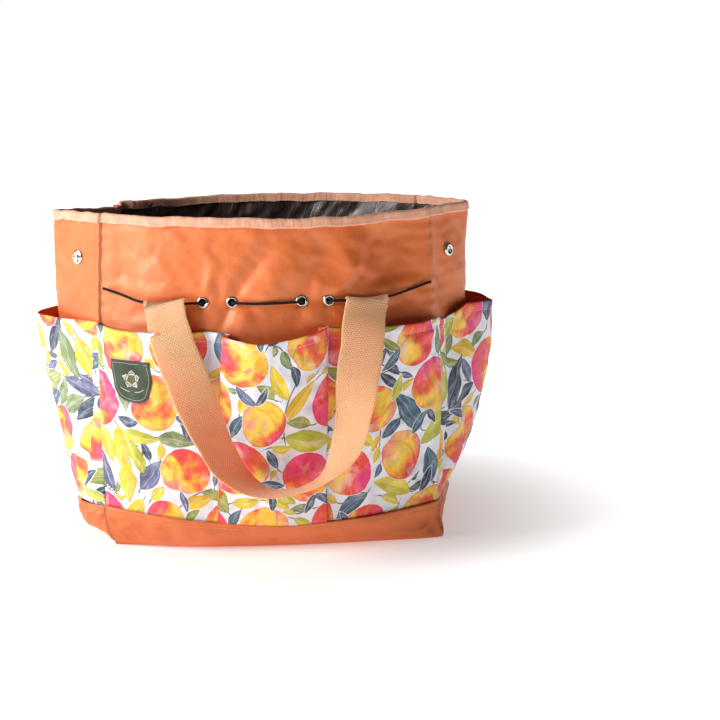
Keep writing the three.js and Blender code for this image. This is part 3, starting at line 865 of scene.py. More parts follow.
class Fruit:
    """A painted round fruit with a dimple at its stalk."""

    def __init__(self, x, y, radius, angle, seed):
        self.x, self.y, self.size, self.angle, self.seed = x, y, radius, angle, seed
        self.radius = radius * 1.25

    def place(self, x, y):
        c, s = math.cos(self.angle), math.sin(self.angle)
        u = ((x - self.x) * c + (y - self.y) * s) / self.size
        v = ((y - self.y) * c - (x - self.x) * s) / self.size
        turn = np.arctan2(u, v)
        edge = 1 + 0.05 * np.cos(2 * turn + 6 * self.seed) - 0.07 * np.exp(-((turn / 0.3) ** 2))
        edge = edge + 0.03 * np.sin(3 * turn + 9 * self.seed)
        distance = (np.hypot(u, v) - edge) * self.size
        return distance, np.stack([u, v, np.full_like(u, self.seed)], axis=-1)


class Taken:
    """Which part of the cloth is already painted, on a fine square grid."""

    def __init__(self, cell=1.0):
        self.cell = cell
        self.used = np.zeros((int(PRINT_WIDTH / cell), int(PRINT_HEIGHT / cell)), bool)

    def window(self, motif, reach):
        radius = motif.radius + reach
        i0, i1 = [int(np.clip((motif.x + k * radius) / self.cell, 0, self.used.shape[0])) for k in (-1, 1)]
        j0, j1 = [int(np.clip((motif.y + k * radius) / self.cell, 0, self.used.shape[1])) for k in (-1, 1)]
        x = (np.arange(i0, i1) + 0.5) * self.cell
        y = (np.arange(j0, j1) + 0.5) * self.cell
        x, y = np.meshgrid(x, y, indexing="ij")
        return (slice(i0, i1), slice(j0, j1)), x, y

    def covered(self, motif):
        """The share of the motif that lies on painted cloth."""
        where, x, y = self.window(motif, 0)
        if x.size == 0:
            return 1.0
        inside = motif.place(x, y)[0] < 0
        return float(self.used[where][inside].mean()) if inside.any() else 1.0

    def paint(self, motif, margin=1.2):
        where, x, y = self.window(motif, margin)
        self.used[where] |= motif.place(x, y)[0] < margin


def scatter_print(seed):
    """Fruit at loose spacing, sprigs of leaves from curved stems, and single leaves in the gaps."""
    rng = np.random.default_rng(seed)
    taken = Taken()
    fruit, leaves, stems, over = [], [], [], []
    step_x, step_y = 64.0, 56.0
    for row in range(-1, int(PRINT_HEIGHT / step_y) + 2):
        for column in range(-1, int(PRINT_WIDTH / step_x) + 2):
            x = (column + 0.5 * (row % 2)) * step_x + rng.uniform(-7, 7)
            y = row * step_y + rng.uniform(-7, 7)
            if rng.random() < 0.1:
                continue
            fruit.append(Fruit(x, y, rng.uniform(20.5, 26.5), rng.uniform(0, 2 * math.pi), rng.random()))
            taken.paint(fruit[-1])
    for _ in range(520):
        x, y = rng.uniform(0, PRINT_WIDTH), rng.uniform(0, PRINT_HEIGHT)
        heading, curl = rng.uniform(0, 2 * math.pi), rng.uniform(-0.02, 0.02)
        family = LEAF_TINTS[:4] if rng.random() < 0.55 else LEAF_TINTS[4:]
        line, where, turn = [], np.array([x, y]), heading
        for _ in range(int(rng.uniform(12, 26))):
            line.append(where.copy())
            where = where + 2.2 * np.array([math.cos(turn), math.sin(turn)])
            turn += curl * 2.2
        added = []
        for k in range(3, len(line), 3):
            way = math.atan2(*(line[k] - line[k - 1])[::-1]) + rng.uniform(0.45, 0.85) * (-1) ** k
            length = rng.uniform(28, 44)
            tint = family[int(rng.integers(len(family)))]
            leaf = Leaf(*line[k], way, length, length * rng.uniform(0.3, 0.38), tint,
                        rng.uniform(-2, 2), rng.random())
            if taken.covered(leaf) < 0.06:
                added.append(leaf)
        if len(added) < 3:
            continue
        for leaf in added:
            if taken.covered(leaf) < 0.12:
                leaves.append(leaf)
                taken.paint(leaf, 0.3)
        stems.append(np.array(line))
    for size in (46, 40, 34, 29, 25, 21, 18, 15, 12):
        for _ in range(2400):
            x, y = rng.uniform(0, PRINT_WIDTH), rng.uniform(0, PRINT_HEIGHT)
            i, j = int(x / taken.cell), int(y / taken.cell)
            tint = LEAF_TINTS[int(rng.integers(len(LEAF_TINTS)))]
            length = size * rng.uniform(0.9, 1.15)
            leaf = Leaf(x, y, rng.uniform(0, 2 * math.pi), length, length * rng.uniform(0.34, 0.48), tint,
                        rng.uniform(-2.5, 2.5), rng.random())
            if taken.used[min(i, PRINT_WIDTH - 1), min(j, PRINT_HEIGHT - 1)] or taken.covered(leaf) > 0.09:
                continue
            leaves.append(leaf)
            taken.paint(leaf, 0.5)
            back = leaf.angle + math.pi
            stalk = [np.array([x, y]) + k * np.array([math.cos(back + 0.06 * k), math.sin(back + 0.06 * k)])
                     for k in range(0, int(rng.integers(4, 9)))]
            stems.append(np.array(stalk[::-1]))
    for peach in fruit:
        if rng.random() < 0.62:
            away = peach.angle + math.pi / 2 + rng.uniform(-0.3, 0.3)
            outward = np.array([math.cos(away), math.sin(away)])
            start = np.array([peach.x, peach.y]) + 0.86 * peach.size * outward
            for turn in rng.choice([-0.9, -0.3, 0.5, 1.1], size=int(rng.integers(1, 3)), replace=False):
                length = rng.uniform(17, 27)
                tint = LEAF_TINTS[int(rng.choice([0, 1, 2, 3, 6, 7]))]
                over.append(Leaf(*start, away + turn, length, length * 0.34, tint,
                                 rng.uniform(-2, 2), rng.random()))
    return {"fruit": fruit, "leaf": leaves, "over": over}, stems


MOTIFS, STEMS = scatter_print(20)


def print_attributes(x, y):
    """What the print material needs at points of the flat cloth: for each painted layer, how far
    outside its nearest motif a point is, where in the motif, and the leaf colour."""
    x, y = x.ravel(), y.ravel()
    made = {}
    for layer, motifs in MOTIFS.items():
        depth = np.full(x.shape, FAR)
        place = np.zeros(x.shape + (3,))
        tint = np.ones(x.shape + (3,))
        for motif in motifs:
            near = np.flatnonzero(np.hypot(x - motif.x, y - motif.y) < motif.radius + 7)
            if near.size == 0:
                continue
            distance, where = motif.place(x[near], y[near])
            closer = distance < depth[near]
            chosen = near[closer]
            depth[chosen] = distance[closer]
            place[chosen] = where[closer]
            if layer != "fruit":
                tint[chosen] = colour(motif.tint)[:3]
        made[layer + "_d"] = np.minimum(depth, FAR)
        made[layer + "_at"] = place
        if layer != "fruit":
            made[layer + "_tint"] = tint
    stem = np.full(x.shape, FAR)
    for line in STEMS:
        centre, reach = line.mean(axis=0), np.ptp(line, axis=0).max() + 6
        near = np.flatnonzero(np.hypot(x - centre[0], y - centre[1]) < reach)
        if near.size == 0:
            continue
        for a, b in zip(line[:-1], line[1:]):
            way = b - a
            t = ((x[near] - a[0]) * way[0] + (y[near] - a[1]) * way[1]) / (way @ way)
            side = np.sign((x[near] - a[0]) * way[1] - (y[near] - a[1]) * way[0])
            t = np.clip(t, 0, 1)
            distance = np.hypot(x[near] - a[0] - t * way[0], y[near] - a[1] - t * way[1])
            closer = distance < np.abs(stem[near])
            stem[near[closer]] = (distance * np.where(side == 0, 1, side))[closer]
    made["stem_d"] = stem
    return made


# ---------------------------------------------------------------- body, lining, band and base

SIDE_NAMES = ["front", "right", "back", "left"]


def levels(low, high, spacing):
    return np.linspace(low, high, max(2, int(round((high - low) / spacing)) + 1))


def body_shell():
    p = perimeter(2.6)
    z = np.concatenate([levels(10, 190, 12)[:-1], levels(190, RIM_Z - 1, 2.4)])
    grid_p, grid_z = np.meshgrid(p, z)
    gone = eyelet_holes(grid_p, grid_z)
    flat = np.stack([arc_of(grid_p), grid_z], axis=-1)
    points = body(grid_p, grid_z, PANEL_OUT)
    shell = add_grid("body_shell", points, [CORAL, CORAL_INSIDE], flat, closed=True, gone=gone,
                     seam=seam_shade(grid_p).ravel())
    thicken(shell, 0.9, inside=1)
    nodes = ["front_panel", "back_panel", "left_gusset", "right_gusset"]
    keep(shell, replaces=nodes)
    return shell


def lining_wrinkles(p, z):
    """Slanting creases of the loose lining, always inwards."""
    points = np.stack([arc_of(p % 4) * 0.9 + z * 0.55, z * 0.6], axis=-1)
    sharp = creased(ripples(points, 60, 21, 7) * 0.9)
    small = creased(ripples(points * [1, 1.7], 30, 22, 7) * 0.9)
    hang = smooth(RIM_Z, RIM_Z - 22, z) * smooth(6, 24, z)
    return -(2.6 * sharp + 1.1 * small + 0.6 * (1 + ripples(points, 18, 23))) * (0.25 + 0.75 * hang)


def lining_shell():
    p = perimeter(3.2, seams=(1.5, 4))
    z = levels(4.8, RIM_Z - 1, 3.2)
    grid_p, grid_z = np.meshgrid(p, z)
    gone = eyelet_holes(grid_p, grid_z)
    sunk = lining_wrinkles(grid_p, grid_z)
    for x in EYELET_X:
        for side in (FRONT, BACK):
            away = np.hypot((grid_p - p_at(side, x, CORD_Z)) * (2 * FACE_HALF), grid_z - CORD_Z)
            sunk = sunk * smooth(5, 16, away)
    points = body(grid_p, grid_z, LINING_OUT + sunk)
    flat = np.stack([arc_of(grid_p), grid_z], axis=-1)
    shell = add_grid("lining_shell", points, [LINING], flat, closed=True, flip=True, gone=gone)
    thicken(shell, 0.35)
    keep(shell, replaces=[f"{side}_lining" for side in SIDE_NAMES])


def floor_sheet(name, offset, z, material, flip, seed):
    """A sheet with the base's outline, in rings towards its middle."""
    p = perimeter(9, seams=(4,))
    share = np.concatenate([np.linspace(0.02, 0.9, 22), np.linspace(0.93, 1, 4)])
    outline = wall(p, 0.0 * p, offset)
    points = share[:, None, None] * outline[None]
    dome = z + 0.5 * (1 - share[:, None] ** 4)
    points[..., 2] = dome + 0.35 * ripples(points[..., :2], 60, seed) * (1 - share[:, None] ** 6)
    return add_grid(name, points, [material], points[..., :2], closed=True, flip=flip)


def base_pieces():
    floor = floor_sheet("floor_lining_sheet", -0.4, 5.2, LINING, flip=True, seed=31)
    thicken(floor, 0.4)
    keep(floor, replaces=["floor_lining"])
    base = floor_sheet("base_sheet", -2.6, 0.35, CORAL, flip=False, seed=32)
    thicken(base, 0.9)
    keep(base, replaces=["bottom_panel"])


def side_swell(p, z):
    """How far the left gusset's foot stands out in front of its crease."""
    p, z = np.broadcast_arrays(np.asarray(p, float) % 4, np.asarray(z, float))
    share = np.clip(p - LEFT, 0, 1)
    round_it = np.interp(share, [0, 0.3, 0.5, 0.7, 0.86, 0.94, 1], [0, 2, 5, 12, 17, 11, 0])
    return np.where(p >= LEFT, round_it, 0) * smooth(0, 20, z) * (1 - smooth(44, 128, z))


def band_top(p):
    """Height of the base band's upper edge, which dips in the middle of the front and the back."""
    side, _ = side_and_share(p)
    x = face_x(p, BAND_Z)
    dip = 25.5 + 12.5 * np.minimum(np.abs(x - 15) / 150, 1.1) ** 1.3
    back_dip = 28 + 9.5 * (np.abs(x) / 152) ** 1.5
    return np.choose(side, [dip, 38.0 + 0 * x, back_dip, 38.5 + 0 * x])


BAND_ROUND = 9.0       # how gently the band turns under the base
BAND_TUCK = 0.12       # the share of the band that lies under the base


def band_point(p, t, extra=0.0):
    """The base band's outside: t from 0, tucked under the base, to 1 at its upper edge."""
    p, t = np.broadcast_arrays(np.asarray(p, float), np.asarray(t, float))
    top = band_top(p)
    low = 0.7
    z = low + (top - low) * np.maximum(t - BAND_TUCK, 0) / (1 - BAND_TUCK)
    under = np.minimum(t / BAND_TUCK, 1)
    inset = BAND_ROUND * (1 - np.sqrt(np.clip(1 - np.clip(1 - z / BAND_ROUND, 0, 1) ** 2, 0, 1)))
    inset = inset * 0.62 + 6.0 * (1 - under)
    near = seam_distance(p)
    points = wall(p, z)
    front_right = blob(p, 1, 0.14)
    front_left = blob(np.minimum(p, 4 - p), 0, 0.15)
    inset = inset * (1 - 0.8 * front_right)
    swell = 1.4 * ripples(points, 85, 41) + 0.6 * ripples(points, 32, 42)
    swell = swell + 1.5 * (creased(ripples(points * [1, 1, 1.6], 60, 43)) - 0.4)
    corner = -3.6 * np.exp(-near / 2.2) * smooth(4, 22, z) - 2.0 * np.exp(-near / 7)
    folds_here = 1.5 * np.exp(-near / 15) * np.sin(near * 0.62 + z * 0.42) * (1 - front_right * 0.6)
    folds_here = folds_here * smooth(3, 14, z) * (1 - 0.9 * smooth(top - 10, top - 2, z))
    out = swell * smooth(0, 12, z) * (1 - 0.75 * smooth(top - 7, top, z)) * smooth(2, 14, near)
    tucked = np.where(np.floor(p) % 2 == 1, -2.9, -0.4) * smooth(0.8, 1.0, t)
    out = np.maximum(out, -0.3 - 3 * smooth(top - 10, top - 16, z))
    crushed = front_left * (1 - smooth(3, 30, z))
    offset = COVER_OUT + 2.3 - inset + out + corner + folds_here + tucked - 3.5 * crushed
    least = np.interp(z, [3.5, 4.8, 9, 12], [-2.2, 0.4, 0.8, 2.3])
    point = wall(p, z, np.maximum(offset, least) + extra)
    point[..., 2] += crushed
    point[..., 0] += 5.5 * front_right * (1 - smooth(2, 24, z)) - side_swell(p, z)
    return point


def base_band():
    p = perimeter(2.6)
    t = np.concatenate([
        np.linspace(0, BAND_TUCK, 5)[:-1], np.linspace(BAND_TUCK, 0.4, 12)[:-1], np.linspace(0.4, 1, 14)])
    grid_p, grid_t = np.meshgrid(p, t)
    hem = 0.35 * blob(grid_t, 0.93, 0.07) - 0.2 * blob(grid_t, 0.84, 0.02)
    flat = np.stack([arc_of(grid_p), grid_t * 48], axis=-1)
    band = add_grid("base_band", band_point(grid_p, grid_t, hem), [CORAL, CORAL_INSIDE], flat, closed=True,
                    seam=seam_shade(grid_p).ravel())
    thicken(band, 1.0, inside=1)
    keep(band, replaces=[f"{side}_base_band" for side in SIDE_NAMES])

    fine = np.linspace(0, 4, 720)
    line = band_point(fine, 0.845 + 0 * fine, 0.1)
    stitches = stitch_parts(line, wall_normal(fine, 30.0))
    keep(add_parts("base_band_stitching", stitches, CORAL_THREAD))


# ---------------------------------------------------------------- rim binding

BINDING_DROP = 7.4


def rim_frame(p):
    """The rim's place, and the level direction out of the bag, at p."""
    centre = body(p, np.full(np.shape(p), RIM_Z - 0.5), 0.2)
    normal = wall_normal(p, 290.0)
    normal[..., 2] = 0
    return centre, unit(normal)


BINDING_PROFILE = [
    (2.2, -BINDING_DROP), (2.9, -BINDING_DROP), (2.7, -6.0), (2.55, -4.0), (2.5, -2.0), (2.2, -0.2),
    (1.5, 0.8), (0.3, 1.3), (-1.0, 1.2), (-2.1, 0.6), (-2.7, -0.6), (-2.9, -3.0), (-3.0, -6.0),
    (-3.3, -BINDING_DROP + 0.4), (-2.6, -BINDING_DROP + 0.4),
]


def binding_ring(p, lift=0.0, spread=0.0):
    """The tape folded over the rim: for each point of its profile, a row of places round the bag."""
    p = np.asarray(p, float)
    centre, normal = rim_frame(p)
    wavy = 0.3 * np.sin(p * 95 + 2 * np.sin(p * 23)) + 0.22 * np.sin(p * 187)
    rows = []
    for out, up in BINDING_PROFILE:
        out_here = out + np.sign(out) * (spread + 0.25 * wavy * min(1.0, -up / BINDING_DROP + 0.2))
        drop = up * (1 + 0.03 * np.sin(p * 41)) + lift
        base = body(p, np.full(p.shape, RIM_Z - 0.5) + up, 0.2) if up < 0 else centre
        point = base + normal * out_here[:, None]
        point[:, 2] = centre[:, 2] + drop + 0.35 * wavy
        rows.append(point)
    return np.array(rows)


def rim_binding():
    p = perimeter(2.0, seams=(1.5, 3, 5))
    rows = binding_ring(p)
    width = np.concatenate([[0], np.cumsum(np.linalg.norm(np.diff(BINDING_PROFILE, axis=0), axis=1))])
    grid_w, grid_a = np.meshgrid(width, arc_of(p), indexing="ij")
    flat = np.stack([grid_a, grid_w], axis=-1)
    rows, flat = np.concatenate([rows, rows[:1]]), np.concatenate([flat, flat[-1:] + [0, 0.7]])
    binding = add_grid("rim_binding_tape", rows, [TAPE], flat, closed=True)
    keep(binding, replaces=["rim_binding"])

    lap_p = np.linspace(2.962, 3.03, 26)
    lap = binding_ring(lap_p, lift=0.55, spread=0.75)
    lap[5:11, :, 2] += 1.6 * smooth(3.012, 3.03, lap_p)[None]
    lap = np.concatenate([lap, lap[:1]])
    lap_width = np.append(width, width[-1] + 0.7)
    lap_flat = np.stack(np.broadcast_arrays(arc_of(lap_p)[None], lap_width[:, None]), axis=-1)
    end = add_grid("binding_lap", lap, [TAPE], lap_flat)
    keep(end)

    fine = np.linspace(0, 4, 900)
    parts = []
    for row, face in ((2, 1), (12, -1)):
        line = binding_ring(fine)[row]
        _, normal = rim_frame(fine)
        parts += stitch_parts(line + normal * 0.05 * face, normal * face)
    keep(add_parts("binding_stitching", parts, PEACH_THREAD))


# ---------------------------------------------------------------- pockets


class Cloth:
    """A sheet laid out as columns a and rows b of flat cloth, in millimetres, with the place of each
    crossing. Anything sewn to it is placed by where it sits on the flat cloth."""

    def __init__(self, a, b, points):
        self.a, self.b, self.points = a, b, points
        across, up = np.gradient(points, axis=1), np.gradient(points, axis=0)
        self.normals = unit(np.cross(across, up))

    def at(self, a, b, lift=0.0):
        a, b = np.broadcast_arrays(np.asarray(a, float), np.asarray(b, float))
        column = np.interp(a, self.a, np.arange(len(self.a)))
        row = np.interp(b, self.b, np.arange(len(self.b)))
        i = np.clip(row.astype(int), 0, len(self.b) - 2)
        j = np.clip(column.astype(int), 0, len(self.a) - 2)
        t, s = (row - i)[..., None], (column - j)[..., None]

        def mixed(v):
            lower = v[i, j] * (1 - s) + v[i, j + 1] * s
            upper = v[i + 1, j] * (1 - s) + v[i + 1, j + 1] * s
            return lower * (1 - t) + upper * t

        normal = unit(mixed(self.normals))
        return mixed(self.points) + normal * lift, normal


def sewn_line(cloth, a, b, count=160, **sizes):
    """Stitches along a line on flat cloth, between (a, b) pairs."""
    share = np.linspace(0, 1, count)
    points, normals = cloth.at(np.interp(share, [0, 1], a), np.interp(share, [0, 1], b), 0.06)
    return stitch_parts(points, normals, **sizes)


# The pleat beside a centre pocket's seam: where the cloth folds, from the seam towards the middle,
# at the top and at the bottom, and how far off the wall each fold stands.
PLEAT_TOP = {"deep": 21.0, "fold": 14.5, "out": (2.4, 4.4, 1.6, 10.0)}
PLEAT_FOOT = {"deep": 15.7, "fold": 3.0, "out": (1.9, 2.1, 0.2, 3.5)}


def pleat_nodes(pleat):
    deep, fold, (low, middle, gap, high) = pleat["deep"], pleat["fold"], pleat["out"]
    return np.array([
        (0, low), (fold / 2, low + 0.35 * (middle - low)), (deep - 1.2, middle), (deep, middle + gap / 2),
        (deep - 1.2, middle + gap), (fold + 1.2, high - gap), (fold, high - gap / 2), (fold + 1.2, high),
    ])


PLEAT_CELLS = [5, 7, 2, 2, 6, 2, 2]
FOOT_TUCK = 7                    # how far a pocket's foot goes down behind the base band
POCKET_HEIGHT = 178              # the flat sheet: its height, the width of the part outside each seam,
OUTER_WIDTH, FACE_WIDTH = 116, 103   # the width of the face between the pleats,
HEM_STITCH = (169.8, 169.8)      # and how high the hem's stitching is, at the line's two ends
SIDE_POCKET_HEIGHT = 180
SIDE_HEM_STITCH = (171.8, 171.8)
TOP_LINES = {  # height of a pocket's upper edge: for the left part, the pleats and the face, the right part
    "outer_left": ([0, 0.5, 1], [208, 205, 204.5]),
    "face": ([0, 0.36, 0.64, 1], [201, 196, 199.5, 207.5]),
    "outer_right": ([0, 0.5, 1], [204, 206, 207.5]),
}


def pocket_sheet(side, window):
    """The printed sheet across the front or back, pleated beside the centre pocket's two seams."""
    b = np.linspace(0, POCKET_HEIGHT, 106)
    v = (b / b[-1])[:, None]
    rise = v**0.9
    left_seam = -52 + 0 * v
    right_seam = np.interp(v, [0, 0.2, 1], [52.5, 54, 66])
    base = 1.9 + 0.5 * rise
    columns, flats, tops = [], [], []

    # outer left
    share = np.linspace(0, 1, 70)[None, :]
    outer = base + 14 * (1 - np.abs(2 * share - 1) ** 3) * (1 - (1 - v) ** 1.5)
    edge = 152.0
    columns.append((-edge + (left_seam + edge) * share, outer + blob(share, 0, 0.035) * smooth(0.1, 0.5, v)))
    flats.append(OUTER_WIDTH * share[0])
    tops.append(np.interp(share[0], *TOP_LINES["outer_left"]))

    # the left pleat
    top, foot = pleat_nodes(PLEAT_TOP), pleat_nodes(PLEAT_FOOT)
    nodes = foot[None] * (1 - rise[..., None]) + top[None] * rise[..., None]
    widths = sum(np.linalg.norm(np.diff(ends, axis=0), axis=1) * 0.5 for ends in (top, foot))
    dx, out, flat = [], [], []
    start = 0.0
    for k, cells in enumerate(PLEAT_CELLS):
        t = (np.arange(cells) + 1)[None, :] / cells
        dx.append(nodes[:, k, 0:1] * (1 - t) + nodes[:, k + 1, 0:1] * t)
        out.append(nodes[:, k, 1:2] * (1 - t) + nodes[:, k + 1, 1:2] * t)
        flat.append(start + widths[k] * t[0])
        start += widths[k]
    dx, out, flat = np.hstack(dx), np.hstack(out), np.concatenate(flat)
    columns.append((left_seam + dx, out))
    flats.append(OUTER_WIDTH + flat)
    tops.append(np.interp(flat, [0, start], [204.5, 201]))

    # the face between the folds
    s = np.linspace(0, 1, 64)[None, 1:-1]
    low = left_seam + dx[:, -1:]
    high = right_seam - dx[:, -1:] + np.interp(v, [0, 1], [2.5, 0.5])
    belly = 14.8 * (1 - np.abs(2 * s - 1) ** 2.6) * (1 - (1 - v) ** 1.5)
    columns.append((low + (high - low) * s, out[:, -1:] + belly))
    flats.append(OUTER_WIDTH + start + FACE_WIDTH * s[0])
    tops.append(np.interp(s[0], *TOP_LINES["face"]))

    # the right pleat, and the outer right
    columns.append(((right_seam - dx)[:, ::-1], out[:, ::-1]))
    flats.append(OUTER_WIDTH + start + FACE_WIDTH + (start - flat)[::-1])
    tops.append(np.interp(start - flat[::-1], [0, start], [207.5, 204]))
    raised = 3.6 * blob(1 - share, 0, 0.04) * smooth(0.03, 0.6, v)
    columns.append((right_seam + (edge - right_seam) * share, outer + raised))
    flats.append(OUTER_WIDTH + 2 * start + FACE_WIDTH + OUTER_WIDTH * share[0])
    tops.append(np.interp(share[0], *TOP_LINES["outer_right"]))

    x = np.hstack([c[0] for c in columns])
    out = np.hstack([c[1] for c in columns])
    a = np.concatenate(flats)
    top = np.concatenate(tops)
    a = a + np.arange(len(a)) * 1e-4
    p = np.clip(side + 0.5 + x / (2 * edge), side + 0.0005, side + 0.9995)
    foot_z = band_top(p) - FOOT_TUCK
    z = foot_z + (top[None, :] - foot_z) * v
    grid = np.stack(np.broadcast_arrays(a[None, :], b[:, None]), axis=-1)
    seams = np.minimum(np.abs(x + 52), np.abs(x - right_seam))
    seams = np.minimum(seams, np.abs(edge - np.abs(x)))
    loose = smooth(1.5, 14, seams) * smooth(0.02, 0.22, v)
    wrinkles = 1.0 * ripples(grid * [1, 0.45], 46, 51 + side) + 0.45 * ripples(grid, 22, 61 + side)
    sharp = creased(ripples(grid * [1, 0.5], 60, 71 + side)) - 0.4
    wrinkles = wrinkles + 1.1 * sharp * smooth(0.95, 0.5, v)
    out = out + wrinkles * loose - 0.9 * blob(seams, 0, 2.2) * smooth(1.5, 4, out)
    hem = POCKET_HEIGHT - b[:, None]
    out = out + 0.45 * blob(hem, 3.2, 3.4) - 0.5 * blob(hem, 8.2, 1.3)
    out = np.minimum(out, 3.5 + 0.4 * np.maximum(z - (foot_z + 5), 0))
    cloth = Cloth(a, b, wall(p, z, out))
    attributes = print_attributes(grid[..., 0] + window[0], grid[..., 1] + window[1])
    name = SIDE_NAMES[side]
    sheet = add_grid(f"{name}_pocket_sheet", cloth.points, [PRINT, CORAL_INSIDE], grid, **attributes)
    thicken(sheet, 0.6, inside=1)
    parts_replaced = [f"{name}_pocket_{part}" for part in ("left", "centre", "right")]
    keep(sheet, replaces=parts_replaced)

    total = a[-1]
    parts = []
    for low, high in ((2, OUTER_WIDTH - 2), (OUTER_WIDTH + 1, OUTER_WIDTH + 15)):
        parts += sewn_line(cloth, (low, high), HEM_STITCH)
        parts += sewn_line(cloth, (total - high, total - low), HEM_STITCH)
    face = (OUTER_WIDTH + start + 1, OUTER_WIDTH + start + (FACE_WIDTH - 1))
    parts += sewn_line(cloth, face, HEM_STITCH)
    for seam in (OUTER_WIDTH - 0.4, total - OUTER_WIDTH + 0.4):
        parts += sewn_line(cloth, (seam, seam), (10, 176))
    keep(add_parts(f"{name}_pocket_stitching", parts, PALE_THREAD))
    return cloth


# Side pockets stand off the gussets by these amounts more than an even curve, at the upper edge, and
# the height of that edge, by share of the way round from the front seam for the right pocket, and
# from the back seam for the left one.
SIDE_POCKETS = {
    RIGHT: {
        "share": [0, 0.06, 0.15, 0.22, 0.29, 0.42, 0.53, 0.68, 0.84, 0.93, 1],
        "more": [0, -5, -9.5, -11, -12, -6, 0, 8, 13, 8, 0],
        "top": [206, 203.5, 202.5, 208, 212, 211, 210, 212, 214.7, 211, 208],
        "crease": "crease_right",
        "valley": (0.15, 0.1),
    },
    LEFT: {
        "share": [0, 0.1, 0.215, 0.35, 0.517, 0.75, 0.9, 1],
        "more": [0, 13, 24, 17, 3, 1, 0, 0],
        "top": [207, 208, 208.2, 207, 206.3, 207, 208, 208.4],
        "crease": "crease_left",
        "valley": (0.93, 0.88),
    },
}


def side_pocket(side, window):
    """The printed pocket round a gusset, gaping at the top."""
    facts = SIDE_POCKETS[side]
    b = np.linspace(0, SIDE_POCKET_HEIGHT, 104)
    v = (b / b[-1])[:, None]
    s = np.concatenate([[0, 0.006, 0.014], np.linspace(0.024, 0.976, 118), [0.986, 0.994, 1]])[None, :]
    p = side + np.clip(s, 0.0005, 0.9995)
    foot_z = band_top(p) - FOOT_TUCK
    top = np.interp(s, facts["share"], facts["top"])
    z = foot_z + (top - foot_z) * v
    crease = section(facts["crease"], z)
    band_crease = section(facts["crease"], BAND_Z)
    reach = (band_crease + 3) + (SIDE_REACH - band_crease - 3) * (1 - (1 - v) ** 2.1)
    bulge = np.maximum(reach - 3 - crease, 0) * (1 - (np.sqrt((2 * s - 1) ** 2 + 0.004) / 1.002) ** 1.4)
    more = np.interp(s, facts["share"], facts["more"])
    kernel = np.array([1, 2, 3, 2, 1]) / 9
    more = np.convolve(np.pad(more[0], 2, mode="edge"), kernel, "valid")[None]
    more = more * smooth(0.15, 1, v) ** 1.3
    valley_top, valley_foot = facts["valley"]
    valley = np.interp(v, [0, 1], [valley_foot, valley_top])
    wedge = -6.0 * blob(s, valley, 0.032) * smooth(0.02, 0.12, v) * (1 - 0.55 * smooth(0.35, 0.8, v))
    wedge = wedge + 1.8 * blob(s - valley, 0.07, 0.045) * smooth(0.02, 0.2, v)

    points = wall(p, z, 2.6)
    girth = np.linalg.norm(np.diff(points, axis=1), axis=2)[60]
    sign = 1 if side == RIGHT else -1
    flat_a = np.concatenate([[0], np.cumsum(np.hypot(girth, np.diff((bulge + more)[60])))])
    grid = np.stack(np.broadcast_arrays(flat_a[None, :], b[:, None]), axis=-1)
    edge = np.minimum(s, 1 - s) * 180
    loose = smooth(2, 16, edge) * smooth(0.02, 0.22, v)
    wrinkles = 1.1 * ripples(grid * [1, 0.4], 44, 81 + side) + 0.5 * ripples(grid, 20, 91 + side)
    sharp = creased(ripples(grid * [1, 0.6], 55, 101 + side)) - 0.4
    wrinkles = wrinkles + 1.6 * sharp * smooth(0.9, 0.3, v)
    hem = SIDE_POCKET_HEIGHT - b[:, None]
    wrinkles = wrinkles * (1 - 0.6 * blob(s, 0.5, 0.17))
    out = bulge + more + (wedge + wrinkles) * loose + 0.45 * blob(hem, 3.2, 3.4) - 0.5 * blob(hem, 8.2, 1.3)
    out = out - 2.4 * np.exp(-edge / 2.5) * smooth(0.05, 0.2, v)
    out = np.where(z < 46, np.minimum(out, 0.15 * np.maximum(z - BAND_Z, 0)) - 0.7, out)
    out = np.maximum(out, -1.2)
    points[..., 0] += sign * out - side_swell(p, z) * smooth(0, 0.06, v)
    cloth = Cloth(flat_a, b, points)
    attributes = print_attributes(grid[..., 0] + window[0], grid[..., 1] + window[1])
    name = SIDE_NAMES[side]
    sheet = add_grid(f"{name}_side_pocket_sheet", cloth.points, [PRINT, CORAL_INSIDE], grid, **attributes)
    thicken(sheet, 0.9, inside=1)
    keep(sheet, replaces=[f"{name}_side_pocket"])
    parts = sewn_line(cloth, (3, flat_a[-1] - 3), SIDE_HEM_STITCH)
    keep(add_parts(f"{name}_side_pocket_stitching", parts, PALE_THREAD))


# ---------------------------------------------------------------- handles

# One loop of webbing as it hangs: to the right, how far in front of the fold, height, and how far its
# outer face is turned from facing forwards. It starts and ends at the folds over the sewn ends.
LOOP = [
    (-88.5, 11, 222, -18), (-87, 14.5, 212, -12), (-81, 22, 192, -1), (-73, 27, 171, 8), (-63, 34, 145, 22),
    (-51, 40, 117, 43), (-36, 49, 90, 56), (-19, 54, 75, 76), (-2, 56, 68, 91), (25, 54, 69, 98),
    (48, 51, 79, 88), (66, 44, 102, 53), (75, 37, 136, 34), (79, 33, 166, 9), (83, 28, 188, 1),
    (85, 22, 206, -6), (87, 13.5, 219, -10),
]
FOLD_Y = {FRONT: 103.0, BACK: 110.6}
FOLD_Z = 232.0
TAB_OFF = [(2.6, 152), (2.6, 190), (2.7, 216), (3.1, 223.5)]
FOLD_TOP = [(4.8, 227.6), (7.6, 229.6), (10.8, 229.6), (13.6, 227.4)]


